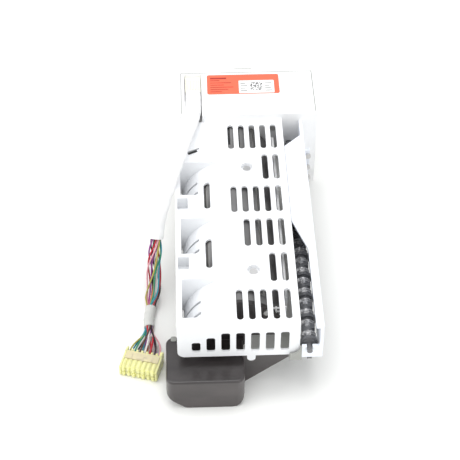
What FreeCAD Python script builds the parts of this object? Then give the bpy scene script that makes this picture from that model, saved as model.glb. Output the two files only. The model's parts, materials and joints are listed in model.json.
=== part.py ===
import FreeCAD, Part
import math
import os
import re
import Sketcher

# Refrigerator ice maker, lying upside down on a flat face.
# Millimetres. Shapes are drawn from the top left near corner of the vent cover: X to the right,
# Y away from the water cup towards the gearbox, Z up. Every node's Placement then moves it into
# the unit's own frame, whose origin is the middle of the footprint on the bench.

doc = FreeCAD.newDocument("ice_maker")
sheet = doc.addObject("Spreadsheet::Sheet", "Dims")

SIZES = (
    ("mid_x", 61.5), ("mid_y", 148.5), ("lift", 78), ("skin", 2),
    ("cover_wide", 100), ("cover_long", 250), ("cover_deep", 39), ("cover_corner", 6), ("rim", 4.5),
    ("lip", 5), ("lip_start", 28),
    ("bay_first", 8.5), ("bay_long", 42.5), ("bay_pitch", 71.7), ("bay_radius", 45), ("bay_drop", 45.3),
    ("slit_first", 15.5), ("slit_gap", 12.2), ("slit_wide", 2.5), ("slit_near", 7), ("slit_far", 20),
    ("slot_wide", 5.5), ("slot_long", 33), ("slot_first", 51.5), ("slot_pitch", 9.87),
    ("row_first", 21.6), ("row_pitch", 41.34), ("lone_x", 28), ("lone_y", 83), ("lone_pitch", 71),
    ("lone_long", 39.5),
    ("boss_x", 64.7), ("boss_y", 60), ("boss_pitch", 127), ("boss_bore", 5.5), ("boss_sink", 4),
    ("snap_y", 62.1), ("snap_long", 14.5), ("snap_wide", 11), ("snap_deep", 11.5), ("snap_wall", 1.7),
    ("vent_first", 11.7), ("vent_pitch", 12.07), ("vent_wide", 7.2), ("vent_high", 22.6), ("vent_low", 33.3),
    ("vent_step", 5.4), ("vent_round", 2), ("tongue_x", 57), ("tongue_wide", 7), ("tongue_drop", 3),
    ("clip_turn", 25),
    ("clip_x", 11), ("clip_y", 205), ("clip_long", 14), ("clip_wide", 3.6),
    ("axis_x", 50), ("mold_drop", 45), ("mold_radius", 41.5), ("cavity_radius", 34),
    ("mold_start", 30), ("mold_end_wall", 4), ("mold_pitch", 23.6), ("divider", 2.8), ("cavities", 9),
    ("weir", 6), ("heater_ring", 38.6), ("heater_radius", 3), ("groove_play", 0.1),
    ("heater_angle", 57), ("heater_start", 40), ("heater_end", 258), ("probe_ring", 39.2),
    ("probe_radius", 2.5), ("probe_start", 222), ("fuse_angle", 78), ("fuse_start", 206),
    ("fin_angle", 38), ("fin_reach", 41.6), ("fin_top", 12), ("fin_side", 94.5), ("fin_thick", 2),
    ("fin_x", 84.8), ("fin_pitch", 5.2), ("fin_first", 38), ("fin_long", 202), ("fin_seat", 19.5),
    ("fin_foot", 14.5),
    ("strip_left", 9), ("strip_right", 43), ("strip_thick", 2.4), ("strip_start", 38),
    ("gate_start", 20), ("gate_wide", 9), ("strip_screw_x", 12.2),
    ("cup_left", -10), ("cup_right", 54.5), ("cup_near", -22), ("cup_far", 28), ("cup_top", 45.5),
    ("cup_wall", 2.5), ("cup_round", 7), ("cup_heel", 11), ("cup_elbow", 6),
    ("cup_foot", 18.5), ("cup_knee", 16),
    ("chute_left", 15), ("chute_wide", 20), ("chute_end", 36.5),
    ("flange_thick", 3), ("panel_tip", 91.5), ("panel_low", 77.3), ("panel_y", 2.5), ("panel_edge", 44.7),
    ("eject_drop", 50), ("shaft_radius", 4.5), ("shaft_play", 0.3), ("shaft_start", 27),
    ("finger_reach", 27), ("finger_radius", 2), ("finger_thick", 5), ("square", 6), ("spindle", 2.5),
    ("bush_wall", 1.5),
    ("box_left", 5.5), ("box_right", 133), ("box_near", 250), ("box_far", 314), ("box_high", 8),
    ("box_plate", 3), ("box_wall", 2.2), ("seam_in", 0.9), ("seam_wide", 0.6), ("seam_deep", 0.7),
    ("lug_x", 57), ("lug_wide", 18), ("lug_out", 5),
    ("duct_left", 10), ("duct_right", 26), ("duct_floor", 6), ("duct_end", 311),
    ("gear_near", 256.5), ("gear_thick", 5), ("gear_slack", 0.2), ("teeth_out", 40), ("teeth_idle", 30),
    ("teeth_motor", 12), ("pinion_dip", 30), ("plate_near", 263), ("plate_thick", 2.4), ("pin_radius", 2),
    ("motor_radius", 13), ("motor_long", 24), ("motor_ear", 18.6), ("motor_shaft", 1.5),
    ("lever_x", 107.7), ("lever_drop", 28), ("hub_radius", 5.5), ("disc_radius", 7.3), ("disc_thick", 3),
    ("hub_near", 1), ("hub_far", 246), ("stub_radius", 2.3), ("stub_out", 6.5), ("journal", 3),
    ("paddle_thick", 2), ("paddle_low", 74), ("paddle_near", 34), ("paddle_far", 240),
    ("guard_left", 115.8), ("guard_right", 118.6), ("guard_near", -4), ("guard_low", 38),
    ("flap_inner", 100.4), ("flap_top", 1), ("ledge_inner", 112.2), ("bracket_left", 91.6),
    ("bracket_low", 41.5),
    ("bracket_right", 101.5), ("bracket_top", 25), ("bracket_thick", 2.8), ("foot_left", 84),
    ("foot_right", 98), ("bracket_bend", 11),
    ("button_x", 110), ("button_drop", 30), ("button_radius", 4), ("button_out", 2.5),
    ("board_drop", 14), ("board_thick", 1.6),
    ("label_x", 31.5), ("label_y", 280.3), ("label_wide", 68.5), ("label_long", 29), ("label_thick", 0.25),
    ("plug_near", 287), ("plug_far", 307), ("cable_radius", 4.25), ("sleeve_radius", 5.4),
    ("tape_radius", 4.7), ("connector_x", -31.2), ("connector_y", 21.6), ("connector_wide", 33),
    ("connector_long", 24), ("connector_high", 12), ("connector_turn", -16), ("ways", 7),
)
for row, (alias, size) in enumerate(SIZES, start=1):
    sheet.set("A%d" % row, alias)
    sheet.set("B%d" % row, str(size))
    sheet.setAlias("B%d" % row, alias)
doc.recompute()

ALIASES = {alias for alias, size in SIZES}
ALONG_Y = FreeCAD.Rotation(FreeCAD.Vector(1, 0, 0), -90)
TOWARD_NEAR = FreeCAD.Rotation(FreeCAD.Vector(1, 0, 0), 90)
ALONG_X = FreeCAD.Rotation(FreeCAD.Vector(0, 1, 0), 90)
UPRIGHT = FreeCAD.Rotation()
NODES = []


# ---------------------------------------------------------------- helpers

def linked(formula):
    """A formula of sheet aliases as an expression that reads the sheet."""
    return re.sub(r"[a-z_]+", lambda word: "Dims." * (word.group() in ALIASES) + word.group(), str(formula))


def size_of(formula):
    """The number that a formula gives, for the few places that take no expression."""
    return float(sheet.evalExpression(linked(formula)))


def bind(item, **formulas):
    for prop, formula in formulas.items():
        item.setExpression(prop, linked(formula))
    return item


def move(item, at, turn=UPRIGHT):
    item.Placement = FreeCAD.Placement(FreeCAD.Vector(), turn)
    for axis, formula in zip("xyz", at):
        item.setExpression("Placement.Base." + axis, linked(formula))
    return item


def box(name, at, size):
    item = doc.addObject("Part::Box", name)
    bind(item, Length=size[0], Width=size[1], Height=size[2])
    return move(item, at)


def rod(name, at, radius, length, turn=ALONG_Y, angle=360):
    item = doc.addObject("Part::Cylinder", name)
    bind(item, Radius=radius, Height=length, Angle=angle)
    return move(item, at, turn)


def ball(name, at, radius):
    return move(bind(doc.addObject("Part::Sphere", name), Radius=radius), at)


def join(name, pieces):
    item = doc.addObject("Part::MultiFuse", name)
    item.Shapes = pieces
    item.Refine = True
    return item


def cut(name, base, tools):
    item = doc.addObject("Part::Cut", name)
    item.Base = base
    item.Tool = tools[0] if len(tools) == 1 else join(name + "_tools", tools)
    item.Refine = True
    return item


def group(name, pieces):
    item = doc.addObject("Part::Compound", name)
    item.Links = pieces
    return item


def ring(name, at, outer, inner, length, turn=ALONG_Y):
    body = rod(name + "_body", at, outer, length, turn)
    return cut(name, body, [rod(name + "_bore", at, inner, length, turn)])


def profile(body, name, plane, points, offset="0"):
    """A closed outline on one of the body's own origin planes, one pair of formulas a corner."""
    sketch = body.newObject("Sketcher::SketchObject", name)
    face = [item for item in body.Origin.OriginFeatures if item.Role == plane][0]
    sketch.AttachmentSupport = [(face, "")]
    sketch.MapMode = "FlatFace"
    sketch.setExpression(".AttachmentOffset.Base.z", linked(offset))
    corners = [FreeCAD.Vector(size_of(across), size_of(up), 0) for across, up in points]
    for start, end in zip(corners, corners[1:] + corners[:1]):
        sketch.addGeometry(Part.LineSegment(start, end))
    for index, (across, up) in enumerate(points):
        sketch.addConstraint(Sketcher.Constraint("Coincident", index, 2, (index + 1) % len(points), 1))
        for kind, formula in (("DistanceX", across), ("DistanceY", up)):
            place = Sketcher.Constraint(kind, -1, 1, index, 1, size_of(formula))
            sketch.setExpression("Constraints[%d]" % sketch.addConstraint(place), linked(formula))
    return sketch


def arc_points(x, z, radius, start, stop):
    """Corners that follow an arc about (x, z) between two angles in degrees, for an outline."""
    angles = [start + (stop - start) * index / 4 for index in range(5)]
    return [("%s + %s * cos(%g)" % (x, radius, angle), "%s + %s * sin(%g)" % (z, radius, angle))
            for angle in angles]


def slab(name, points, near, thick, plane="XZ_Plane"):
    """A flat piece: an outline padded along +Y from near (or along +X from it, on YZ_Plane)."""
    body = doc.addObject("PartDesign::Body", name)
    backward = plane == "XZ_Plane"
    offset = "-(%s)" % near if backward else near
    pad = body.newObject("PartDesign::Pad", name + "_pad")
    pad.Profile = profile(body, name + "_outline", plane, points, offset)
    pad.Reversed = backward
    bind(pad, Length=thick)
    body.Tip = pad
    return body


def node(name, item, centre=("0", "0", "0"), turn=UPRIGHT):
    """Names a sub-part and moves it from the cover's corner into the unit's frame."""
    if item.TypeId in ("Part::Box", "Part::Cylinder"):
        item = group(name + "_group", [item])
    item.Label = name
    shift = ("(%s) - mid_x" % centre[0], "(%s) - mid_y" % centre[1], "(%s) + lift" % centre[2])
    move(item, shift, turn)
    NODES.append(item)
    return item


def screws(name, places, turn, head_radius, head_high, stem_radius, stem_long):
    """Pan head screws: the places are under the heads, and the stems run along the turn's axis."""
    pieces = []
    for place in places:
        head = rod(name + "_head", ("0", "0", "-%g" % head_high), head_radius, head_high, UPRIGHT)
        stem = rod(name + "_stem", ("0", "0", "0"), stem_radius, stem_long, UPRIGHT)
        pieces.append(move(join(name + "_screw", [head, stem]), place, turn))
    return node(name, group(name, pieces))


# ---------------------------------------------------------------- vent cover

def round_slot(name, x, y, low, high, long="slot_long"):
    """A cutter for one vent slot with round ends, long in Y."""
    half = "slot_wide / 2"
    run = "(%s - slot_wide) / 2" % long
    tall = "(%s) - (%s)" % (high, low)
    middle = box(name, ("%s - %s" % (x, half), "%s - %s" % (y, run), low), ("slot_wide", "2 * " + run, tall))
    ends = [rod(name + "_end", (x, "%s %s %s" % (y, side, run), low), half, tall, UPRIGHT) for side in "-+"]
    return [middle] + ends


def build_vent_cover():
    block = box("cover_block", ("0", "0", "-cover_deep"), ("cover_wide", "cover_long", "cover_deep"))
    hollow = box("cover_hollow", ("rim", "skin", "-cover_deep"),
                 ("cover_wide - rim - skin", "cover_long", "cover_deep - skin"))
    solids = [cut("cover_shell", block, [hollow])]
    cutters = []
    for index in range(3):
        start = "bay_first + %d * bay_pitch" % index
        wall_box = box("bay_block", ("rim - 0.5", start + " - skin", "-cover_deep"),
                       ("axis_x - rim + 0.5", "bay_long + 2 * skin", "cover_deep - 0.2"))
        inner = rod("bay_inside", ("axis_x", start + " - 2 * skin", "-bay_drop"),
                    "bay_radius - skin", "bay_long + 4 * skin")
        solids.append(cut("bay_walls", wall_box, [inner]))
        scoop_box = box("bay_space", ("rim", start, "-cover_deep - 1"),
                        ("axis_x - rim", "bay_long", "cover_deep + 2"))
        floor = rod("bay_floor", ("axis_x", start + " - skin", "-bay_drop"),
                    "bay_radius", "bay_long + 2 * skin")
        cutters.append(cut("bay_scoop", scoop_box, [floor]))
        for slit in range(2):
            middle = "%s + slit_first + %d * slit_gap" % (start, slit)
            cutters.append(box("bay_slit", ("slit_near", middle + " - slit_wide / 2", "-cover_deep + 4"),
                               ("slit_far - slit_near", "slit_wide", "cover_deep")))
    slot_rows = ((0, range(0, 5)), (1, range(3, 5)), (2, range(1, 5)), (3, range(0, 5)),
                 (4, range(3, 5)), (5, range(0, 5)))
    for row, columns in slot_rows:
        for column in columns:
            cutters += round_slot("slot", "slot_first + %d * slot_pitch" % column,
                                  "row_first + %d * row_pitch" % row, "-skin - 1", "1")
    for index in range(2):
        centre_y = "lone_y + %d * lone_pitch" % index
        cutters += round_slot("lone_slot", "lone_x", centre_y, "-15", "1", "lone_long")
        boss_at = "boss_y + %d * boss_pitch" % index
        solids.append(rod("boss", ("boss_x", boss_at, "-boss_sink - skin"),
                          "boss_bore + 1.5", "boss_sink + 1", UPRIGHT))
        cutters.append(rod("boss_sink", ("boss_x", boss_at, "-boss_sink"),
                           "boss_bore", "boss_sink + 1", UPRIGHT))
        cutters.append(rod("boss_hole", ("boss_x", boss_at, "-boss_sink - skin - 1"), "1.8", "4", UPRIGHT))
        snap_at = "snap_y + %d * bay_pitch" % index
        solids.append(box("snap_cup", ("0", snap_at + " - snap_wall", "-snap_deep - snap_wall"),
                          ("snap_wide + snap_wall", "snap_long + 2 * snap_wall", "snap_deep")))
        cutters.append(box("snap_space", ("snap_wall", snap_at, "-snap_deep"),
                           ("snap_wide - snap_wall", "snap_long", "snap_deep + 1")))
    for index in range(7):
        left = "vent_first + %d * vent_pitch" % index
        tall = "vent_high - %d * vent_step" % max(0, 2 - index)
        across = box("vent", (left, "-1", "-vent_low + vent_round"),
                     ("vent_wide", "skin + 2", tall + " - 2 * vent_round"))
        upward = box("vent_tall", (left + " + vent_round", "-1", "-vent_low"),
                     ("vent_wide - 2 * vent_round", "skin + 2", tall))
        corners = [rod("vent_corner", ("%s + %s" % (left, x), "-1", "-vent_low + " + z),
                       "vent_round", "skin + 2")
                   for x in ("vent_round", "vent_wide - vent_round")
                   for z in ("vent_round", tall + " - vent_round")]
        cutters += [across, upward] + corners
    for left, centre in (("-1", "cover_corner"), ("cover_wide - cover_corner", "cover_wide - cover_corner")):
        square = box("corner_block", (left, "-1", "-cover_deep - 1"),
                     ("cover_corner + 1", "cover_long + 2", "cover_corner + 1"))
        rounding = rod("corner_round", (centre, "-2", "-cover_deep + cover_corner"),
                       "cover_corner", "cover_long + 4")
        cutters.append(cut("corner_cut", square, [rounding]))
    lip_block = box("lip_block", ("lip_start", "cover_long - lip", "-0.5"),
                    ("cover_wide - lip_start", "lip", "lip + 0.5"))
    lip_round = rod("lip_round", ("lip_start - 1", "cover_long - lip", "lip"), "lip",
                    "cover_wide - lip_start + 2", ALONG_X)
    solids.append(cut("lip", lip_block, [lip_round]))
    tongue_end = rod("tongue_end", ("tongue_x + tongue_wide / 2", "0", "-cover_deep - tongue_drop"),
                     "tongue_wide / 2", "skin")
    tongue = box("tongue_bar", ("tongue_x", "0", "-cover_deep - tongue_drop"),
                 ("tongue_wide", "skin", "tongue_drop + 2"))
    slot_turn = FreeCAD.Rotation(FreeCAD.Vector(0, 0, 1), size_of("clip_turn"))
    clip_slot = box("clip_slot", ("0", "0", "0"), ("clip_long", "clip_wide", "4"))
    cutters.append(move(clip_slot, ("clip_x", "clip_y", "-3"), slot_turn))
    body = cut("cover_cut", join("cover_solids", solids), cutters)
    node("vent_cover", join("vent_cover_body", [body, tongue, tongue_end]))
    clip_foot = box("clip_foot", ("0.2", "0.1", "-2"), ("clip_long - 0.4", "0.8", "3"))
    clip_pad = box("clip_pad", ("0.2", "-3", "0"), ("clip_long - 0.4", "3.9", "1"))
    clip = move(join("clip_parts", [clip_foot, clip_pad]), ("clip_x", "clip_y", "0"), slot_turn)
    node("harness_clip", group("clip_group", [clip]))
    seats = [("boss_x", "boss_y + %d * boss_pitch" % index, "-boss_sink") for index in range(2)]
    screws("cover_screws", seats, UPSIDE_DOWN, 3.4, 2, 1.4, 8)


# ---------------------------------------------------------------- mould, heater, probes

def ring_place(angle, radius):
    """The X and Z of a line parallel to the mould's axis, at an angle above the horizontal."""
    return ("axis_x + %s * cos(%s)" % (radius, angle), "%s * sin(%s) - mold_drop" % (radius, angle))


def heater_shape(name, radius):
    """A U tube that hugs the mould: two runs and one bend round the mould's axis."""
    left_angle = "180 - heater_angle"
    pieces = []
    for angle in ("heater_angle", left_angle):
        x, z = ring_place(angle, "heater_ring")
        pieces.append(rod(name + "_run", (x, "heater_start", z), radius, "heater_end - heater_start"))
        pieces.append(ball(name + "_corner", (x, "heater_start", z), radius))
    bend = doc.addObject("Part::Torus", name + "_bend")
    bind(bend, Radius1="heater_ring", Radius2=radius, Angle3="180 - 2 * heater_angle")
    start_turn = FreeCAD.Rotation(FreeCAD.Vector(0, 1, 0), -size_of("heater_angle"))
    pieces.append(move(bend, ("axis_x", "heater_start", "-mold_drop"), start_turn * TOWARD_NEAR))
    return join(name, pieces)


def probe_shape(name, angle, start, radius):
    x, z = ring_place(angle, "probe_ring")
    return rod(name, (x, start, z), radius, "heater_end - 2 - (%s)" % start)


def build_mold():
    inner = "cavities * mold_pitch - divider"
    length = inner + " + 2 * mold_end_wall"
    end = "mold_start + " + length
    block = rod("mold_block", ("axis_x", end, "-mold_drop"), "mold_radius", length, TOWARD_NEAR, 180)
    trough = rod("mold_space", ("axis_x", end + " - mold_end_wall", "-mold_drop"),
                 "cavity_radius", inner, TOWARD_NEAR)
    seat = box("fin_pad", ("0", "0", "0"), ("3", "fin_long", "fin_seat"))
    seat_turn = FreeCAD.Rotation(FreeCAD.Vector(0, 1, 0), -size_of("fin_angle"))
    seat_x = "axis_x + (fin_reach - 3) * cos(fin_angle) + fin_foot * sin(fin_angle)"
    seat_z = "-mold_drop + (fin_reach - 3) * sin(fin_angle) - fin_foot * cos(fin_angle)"
    move(seat, (seat_x, "fin_first", seat_z), seat_turn)
    cutters = [trough, heater_shape("heater_groove", "heater_radius + groove_play")]
    cutters.append(probe_shape("probe_groove", "90", "probe_start - 0.5", "probe_radius + groove_play"))
    cutters.append(probe_shape("fuse_groove", "fuse_angle", "fuse_start - 0.5", "probe_radius + groove_play"))
    for index in range(2):
        boss_at = "boss_y + %d * boss_pitch" % index
        cutters.append(rod("cover_screw_hole", ("boss_x", boss_at, "-12.6"), "1.4", "8", UPRIGHT))
        cutters.append(rod("boss_seat", ("boss_x", boss_at, "-boss_sink - skin - 0.1"), "boss_bore + 1.8",
                           "boss_sink + skin", UPRIGHT))
        cutters.append(rod("cup_screw_hole", (CUP_SCREWS[index][0], "mold_start - 1", CUP_SCREWS[index][2]),
                           "1.4", "10.2"))
    for place in STRIP_SCREWS:
        cutters.append(rod("strip_screw_hole", (place[0], place[1], "-mold_drop - 1"), "1.3", "7.2", UPRIGHT))
    node("ice_mold", cut("mold_cut", join("mold_solids", [block, seat]), cutters))

    plates = []
    for index in range(1, 9):
        start = "mold_start + mold_end_wall + %d * mold_pitch - divider" % index
        plate = rod("divider_plate", ("axis_x", start + " + divider", "-mold_drop"),
                    "cavity_radius", "divider", TOWARD_NEAR, 180)
        notch = box("weir_notch", ("axis_x + cavity_radius - 2 * weir", start + " - 1", "-mold_drop - 1"),
                    ("2 * weir + 1", "divider + 2", "weir + 1"))
        plates.append(cut("divider_cut", plate, [notch]))
    node("mold_dividers", group("divider_group", plates))

    edge = "mold_drop - fin_top"
    low_reach = "(fin_reach - (fin_side - axis_x) * cos(fin_angle)) / sin(fin_angle)"
    high_reach = "(fin_reach - (%s) * sin(fin_angle)) / cos(fin_angle)" % edge
    wedge = slab("fin_wedge", (("axis_x + " + high_reach, "-fin_top"), ("fin_side", "-fin_top"),
                               ("fin_side", low_reach + " - mold_drop")), "fin_first", "fin_long")
    plates = [box("fin_plate", ("fin_x + %d * fin_pitch" % index, "fin_first", "-mold_drop"),
                  ("fin_thick", "fin_long", "mold_drop")) for index in range(2)]
    fins = doc.addObject("Part::MultiCommon", "fin_stack")
    fins.Shapes = [wedge, group("fin_plates", plates)]
    node("mold_fins", fins)
    node("mold_heater", heater_shape("heater_tube", "heater_radius"))
    node("thermistor", probe_shape("thermistor_rod", "90", "probe_start", "probe_radius"))
    node("thermal_fuse", probe_shape("fuse_rod", "fuse_angle", "fuse_start", "probe_radius"))


def build_stripper():
    far = "mold_start + 2 * mold_end_wall + cavities * mold_pitch - divider"
    plate = box("strip_plate", ("strip_left", "strip_start", "-mold_drop - strip_thick"),
                ("strip_right - strip_left", far + " - strip_start", "strip_thick"))
    cutters = []
    for index in range(9):
        middle = "mold_start + mold_end_wall + (mold_pitch - divider) / 2 + %d * mold_pitch" % index
        low = "-mold_drop - strip_thick - 1"
        cutters.append(box("gate", ("gate_start", middle + " - gate_wide / 2", low),
                           ("strip_right", "gate_wide", "strip_thick + 2")))
        cutters.append(rod("gate_end", ("gate_start", middle, "-mold_drop - strip_thick - 1"),
                           "gate_wide / 2", "strip_thick + 2", UPRIGHT))
    for place in STRIP_SCREWS:
        cutters.append(rod("strip_hole", (place[0], place[1], "-mold_drop - strip_thick - 1"),
                           "1.5", "strip_thick + 2", UPRIGHT))
    node("stripper", cut("strip_cut", plate, cutters))
    seats = [(x, y, "-mold_drop - strip_thick") for x, y in STRIP_SCREWS]
    screws("stripper_screws", seats, UPRIGHT, 2.8, 1.8, 1.3, 8)


# ---------------------------------------------------------------- water cup

def build_water_cup():
    outline = [("cup_left", "-cup_top"), ("cup_right", "-cup_top")]
    outline += arc_points("cup_right - cup_heel", "cup_heel - lift", "cup_heel", 0, -90)
    outline += arc_points("cup_left + cup_foot", "cup_round - lift", "cup_round", -90, -140)
    outline += arc_points("cup_left + cup_elbow", "cup_knee - lift", "cup_elbow", -120, -180)
    body = slab("cup_body", outline, "cup_near", "cup_far - cup_near")
    doc.recompute()
    near = size_of("cup_near")
    upright = [index + 1 for index, edge in enumerate(body.Shape.Edges)
               if edge.BoundBox.XLength + edge.BoundBox.YLength < 0.01
               and (edge.BoundBox.YMax < near + 0.01 or edge.BoundBox.XMax < size_of("cup_left") + 0.01)]
    padded = body.Tip
    vertical = body.newObject("PartDesign::Fillet", "cup_fillet")
    vertical.Base = (padded, ["Edge%d" % index for index in upright])
    bind(vertical, Radius="cup_round")
    body.Tip = vertical
    doc.recompute()
    top = size_of("-cup_top")
    upper = [index + 1 for index, edge in enumerate(body.Shape.Edges)
             if edge.BoundBox.ZMin > top - 0.01 and edge.BoundBox.YMin < size_of("cup_far") - 0.01]
    crown = body.newObject("PartDesign::Fillet", "cup_crown")
    crown.Base = (vertical, ["Edge%d" % index for index in upper])
    bind(crown, Radius="skin")
    body.Tip = crown
    far_wall = "cup_far - cup_wall"
    space = box("cup_space", ("cup_left + cup_wall", "cup_near + cup_wall", "-lift - 1"),
                ("cup_right - cup_left - 2 * cup_wall", "cup_far - cup_near - 2 * cup_wall",
                 "lift - cup_top - cup_wall + 1"))
    outlet = box("cup_outlet", ("chute_left", far_wall + " - 1", "-62"),
                 ("chute_wide", "cup_wall + 2", "62 - cup_top - cup_wall"))
    flange = rod("cup_flange", ("axis_x", "mold_start", "-mold_drop"), "mold_radius", "flange_thick",
                 TOWARD_NEAR, 180)
    neck = box("cup_neck", ("cup_left + 20", "cup_far - 2 * cup_wall", "-mold_drop - 3"),
               ("cup_right - cup_left - 20", "mold_start - cup_far + 2 * cup_wall", "3.5"))
    chute = box("cup_chute", ("chute_left", "cup_far - 1", "-cup_top - cup_wall"),
                ("chute_wide", "chute_end - cup_far + 1", "cup_wall - 0.2"))
    bearing = rod("cup_bearing", ("axis_x", "cup_far - cup_wall", "-eject_drop"),
                  "shaft_radius + shaft_play + 2 * bush_wall", "mold_start - cup_far + cup_wall")
    bore = rod("bearing_bore", ("axis_x", "shaft_start - 0.5", "-eject_drop"),
               "shaft_radius + shaft_play + bush_wall", "5")
    holes = [rod("cup_hole", (x, y, z), "1.6", "flange_thick + 2") for x, y, z in CUP_SCREWS]
    panel = slab("spout_panel", (("cup_right - 1", "-42"), ("panel_tip", "-42"), ("panel_tip", "-panel_edge"),
                                 ("cup_right - 1", "-panel_low")), "panel_y", "skin")
    shell = cut("cup_shell", body, [space])
    solids = join("cup_solids", [shell, flange, neck, chute, bearing, panel])
    mouth = box("bearing_mouth", ("axis_x - 8", "mold_start", "-mold_drop"), ("16", "4", "8"))
    node("water_cup", cut("cup_cut", solids, [outlet, bore, mouth] + holes))
    seats = [(x, "mold_start - flange_thick", z) for x, y, z in CUP_SCREWS]
    screws("cup_screws", seats, ALONG_Y, 2.8, 1.8, 1.4, 12)


# ---------------------------------------------------------------- ejector and gear train

def build_ejector():
    solids = [rod("ejector_bar", ("axis_x", "shaft_start", "-eject_drop"), "shaft_radius",
                  "box_near + 4 - shaft_start")]
    for index in range(9):
        middle = "mold_start + mold_end_wall + (mold_pitch - divider) / 2 + %d * mold_pitch" % index
        near = middle + " - finger_thick / 2"
        solids.append(box("finger", ("axis_x", near, "-eject_drop - finger_radius"),
                          ("finger_reach - finger_radius", "finger_thick", "2 * finger_radius")))
        solids.append(rod("finger_tip", ("axis_x + finger_reach - finger_radius", near, "-eject_drop"),
                          "finger_radius", "finger_thick"))
    solids.append(box("drive_square", ("axis_x - square / 2", "box_near + 3", "-eject_drop - square / 2"),
                      ("square", "gear_near + gear_thick + 1 - box_near - 3", "square")))
    solids.append(rod("spindle_rod", ("axis_x", "gear_near", "-eject_drop"), "spindle",
                      "plate_near + plate_thick - gear_near"))
    node("ejector_shaft", join("ejector_body", solids))
    outer = "shaft_radius + shaft_play + bush_wall"
    inner = "shaft_radius + shaft_play"
    node("ejector_bush_near", ring("bush_near", ("axis_x", "shaft_start - 0.5", "-eject_drop"),
                                   outer, inner, "mold_start - shaft_start + 0.5"))
    node("ejector_bush_far", ring("bush_far", ("axis_x", "box_near - 1.5", "-eject_drop"),
                                  outer, inner, "box_plate + 3"))


def toothed_wheel(name, teeth):
    """A wheel of module 1 round the body's own Y axis: a disc and one tooth, patterned."""
    root = "(%s / 2 - 1.2)" % teeth
    body = doc.addObject("PartDesign::Body", name)
    disc = body.newObject("PartDesign::Pad", name + "_disc")
    circle = body.newObject("Sketcher::SketchObject", name + "_circle")
    plane = [item for item in body.Origin.OriginFeatures if item.Role == "XZ_Plane"][0]
    circle.AttachmentSupport = [(plane, "")]
    circle.MapMode = "FlatFace"
    circle.addGeometry(Part.Circle(FreeCAD.Vector(), FreeCAD.Vector(0, 0, 1), size_of(root)))
    circle.addConstraint(Sketcher.Constraint("Coincident", 0, 3, -1, 1))
    radius = circle.addConstraint(Sketcher.Constraint("Radius", 0, size_of(root)))
    circle.setExpression("Constraints[%d]" % radius, linked(root))
    disc.Profile = circle
    disc.Reversed = True
    bind(disc, Length="gear_thick")
    tooth = body.newObject("PartDesign::Pad", name + "_tooth")
    foot = root + " - 0.6"
    tip = root + " + 2"
    tooth.Profile = profile(body, name + "_flank", "XZ_Plane",
                            ((foot, "-0.95"), (tip, "-0.35"), (tip, "0.35"), (foot, "0.95")))
    tooth.Reversed = True
    bind(tooth, Length="gear_thick")
    axis = [item for item in body.Origin.OriginFeatures if item.Role == "Y_Axis"][0]
    pattern = body.newObject("PartDesign::PolarPattern", name + "_pattern")
    pattern.Originals = [tooth]
    pattern.Axis = (axis, [""])
    pattern.Angle = 360
    pattern.Occurrences = int(size_of(teeth))
    body.Tip = pattern
    return body


def half_pitch(teeth):
    return FreeCAD.Rotation(FreeCAD.Vector(0, 1, 0), 180 / size_of(teeth))


def build_gears():
    wheel = toothed_wheel("output_wheel", "teeth_out")
    hole = box("square_hole", ("-square / 2", "-1", "-square / 2"), ("square", "gear_thick + 2", "square"))
    web = ring("output_web", ("0", "-1", "0"), "16", "8", "2.5")
    node("output_gear", cut("output_cut", wheel, [hole, web]), ("axis_x", "gear_near", "-eject_drop"))
    wheel = toothed_wheel("idler_wheel", "teeth_idle")
    hole = rod("idler_hole", ("0", "-1", "0"), "pin_radius + 0.25", "gear_thick + 2")
    web = ring("idler_web", ("0", "-1", "0"), "11.5", "5", "2.5")
    node("idler_gear", cut("idler_cut", wheel, [hole, web]), IDLER, half_pitch("teeth_idle"))
    wheel = toothed_wheel("pinion_wheel", "teeth_motor")
    shaft = rod("pinion_shaft", ("0", "-1", "0"), "motor_shaft", "plate_near + 12 - gear_near")
    node("motor_pinion", join("pinion_join", [wheel, shaft]), PINION, half_pitch("teeth_motor"))
    node("idler_pin", rod("idler_rod", (IDLER[0], "box_near + box_plate", IDLER[2]), "pin_radius",
                          "plate_near + plate_thick - box_near - box_plate"))


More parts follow.
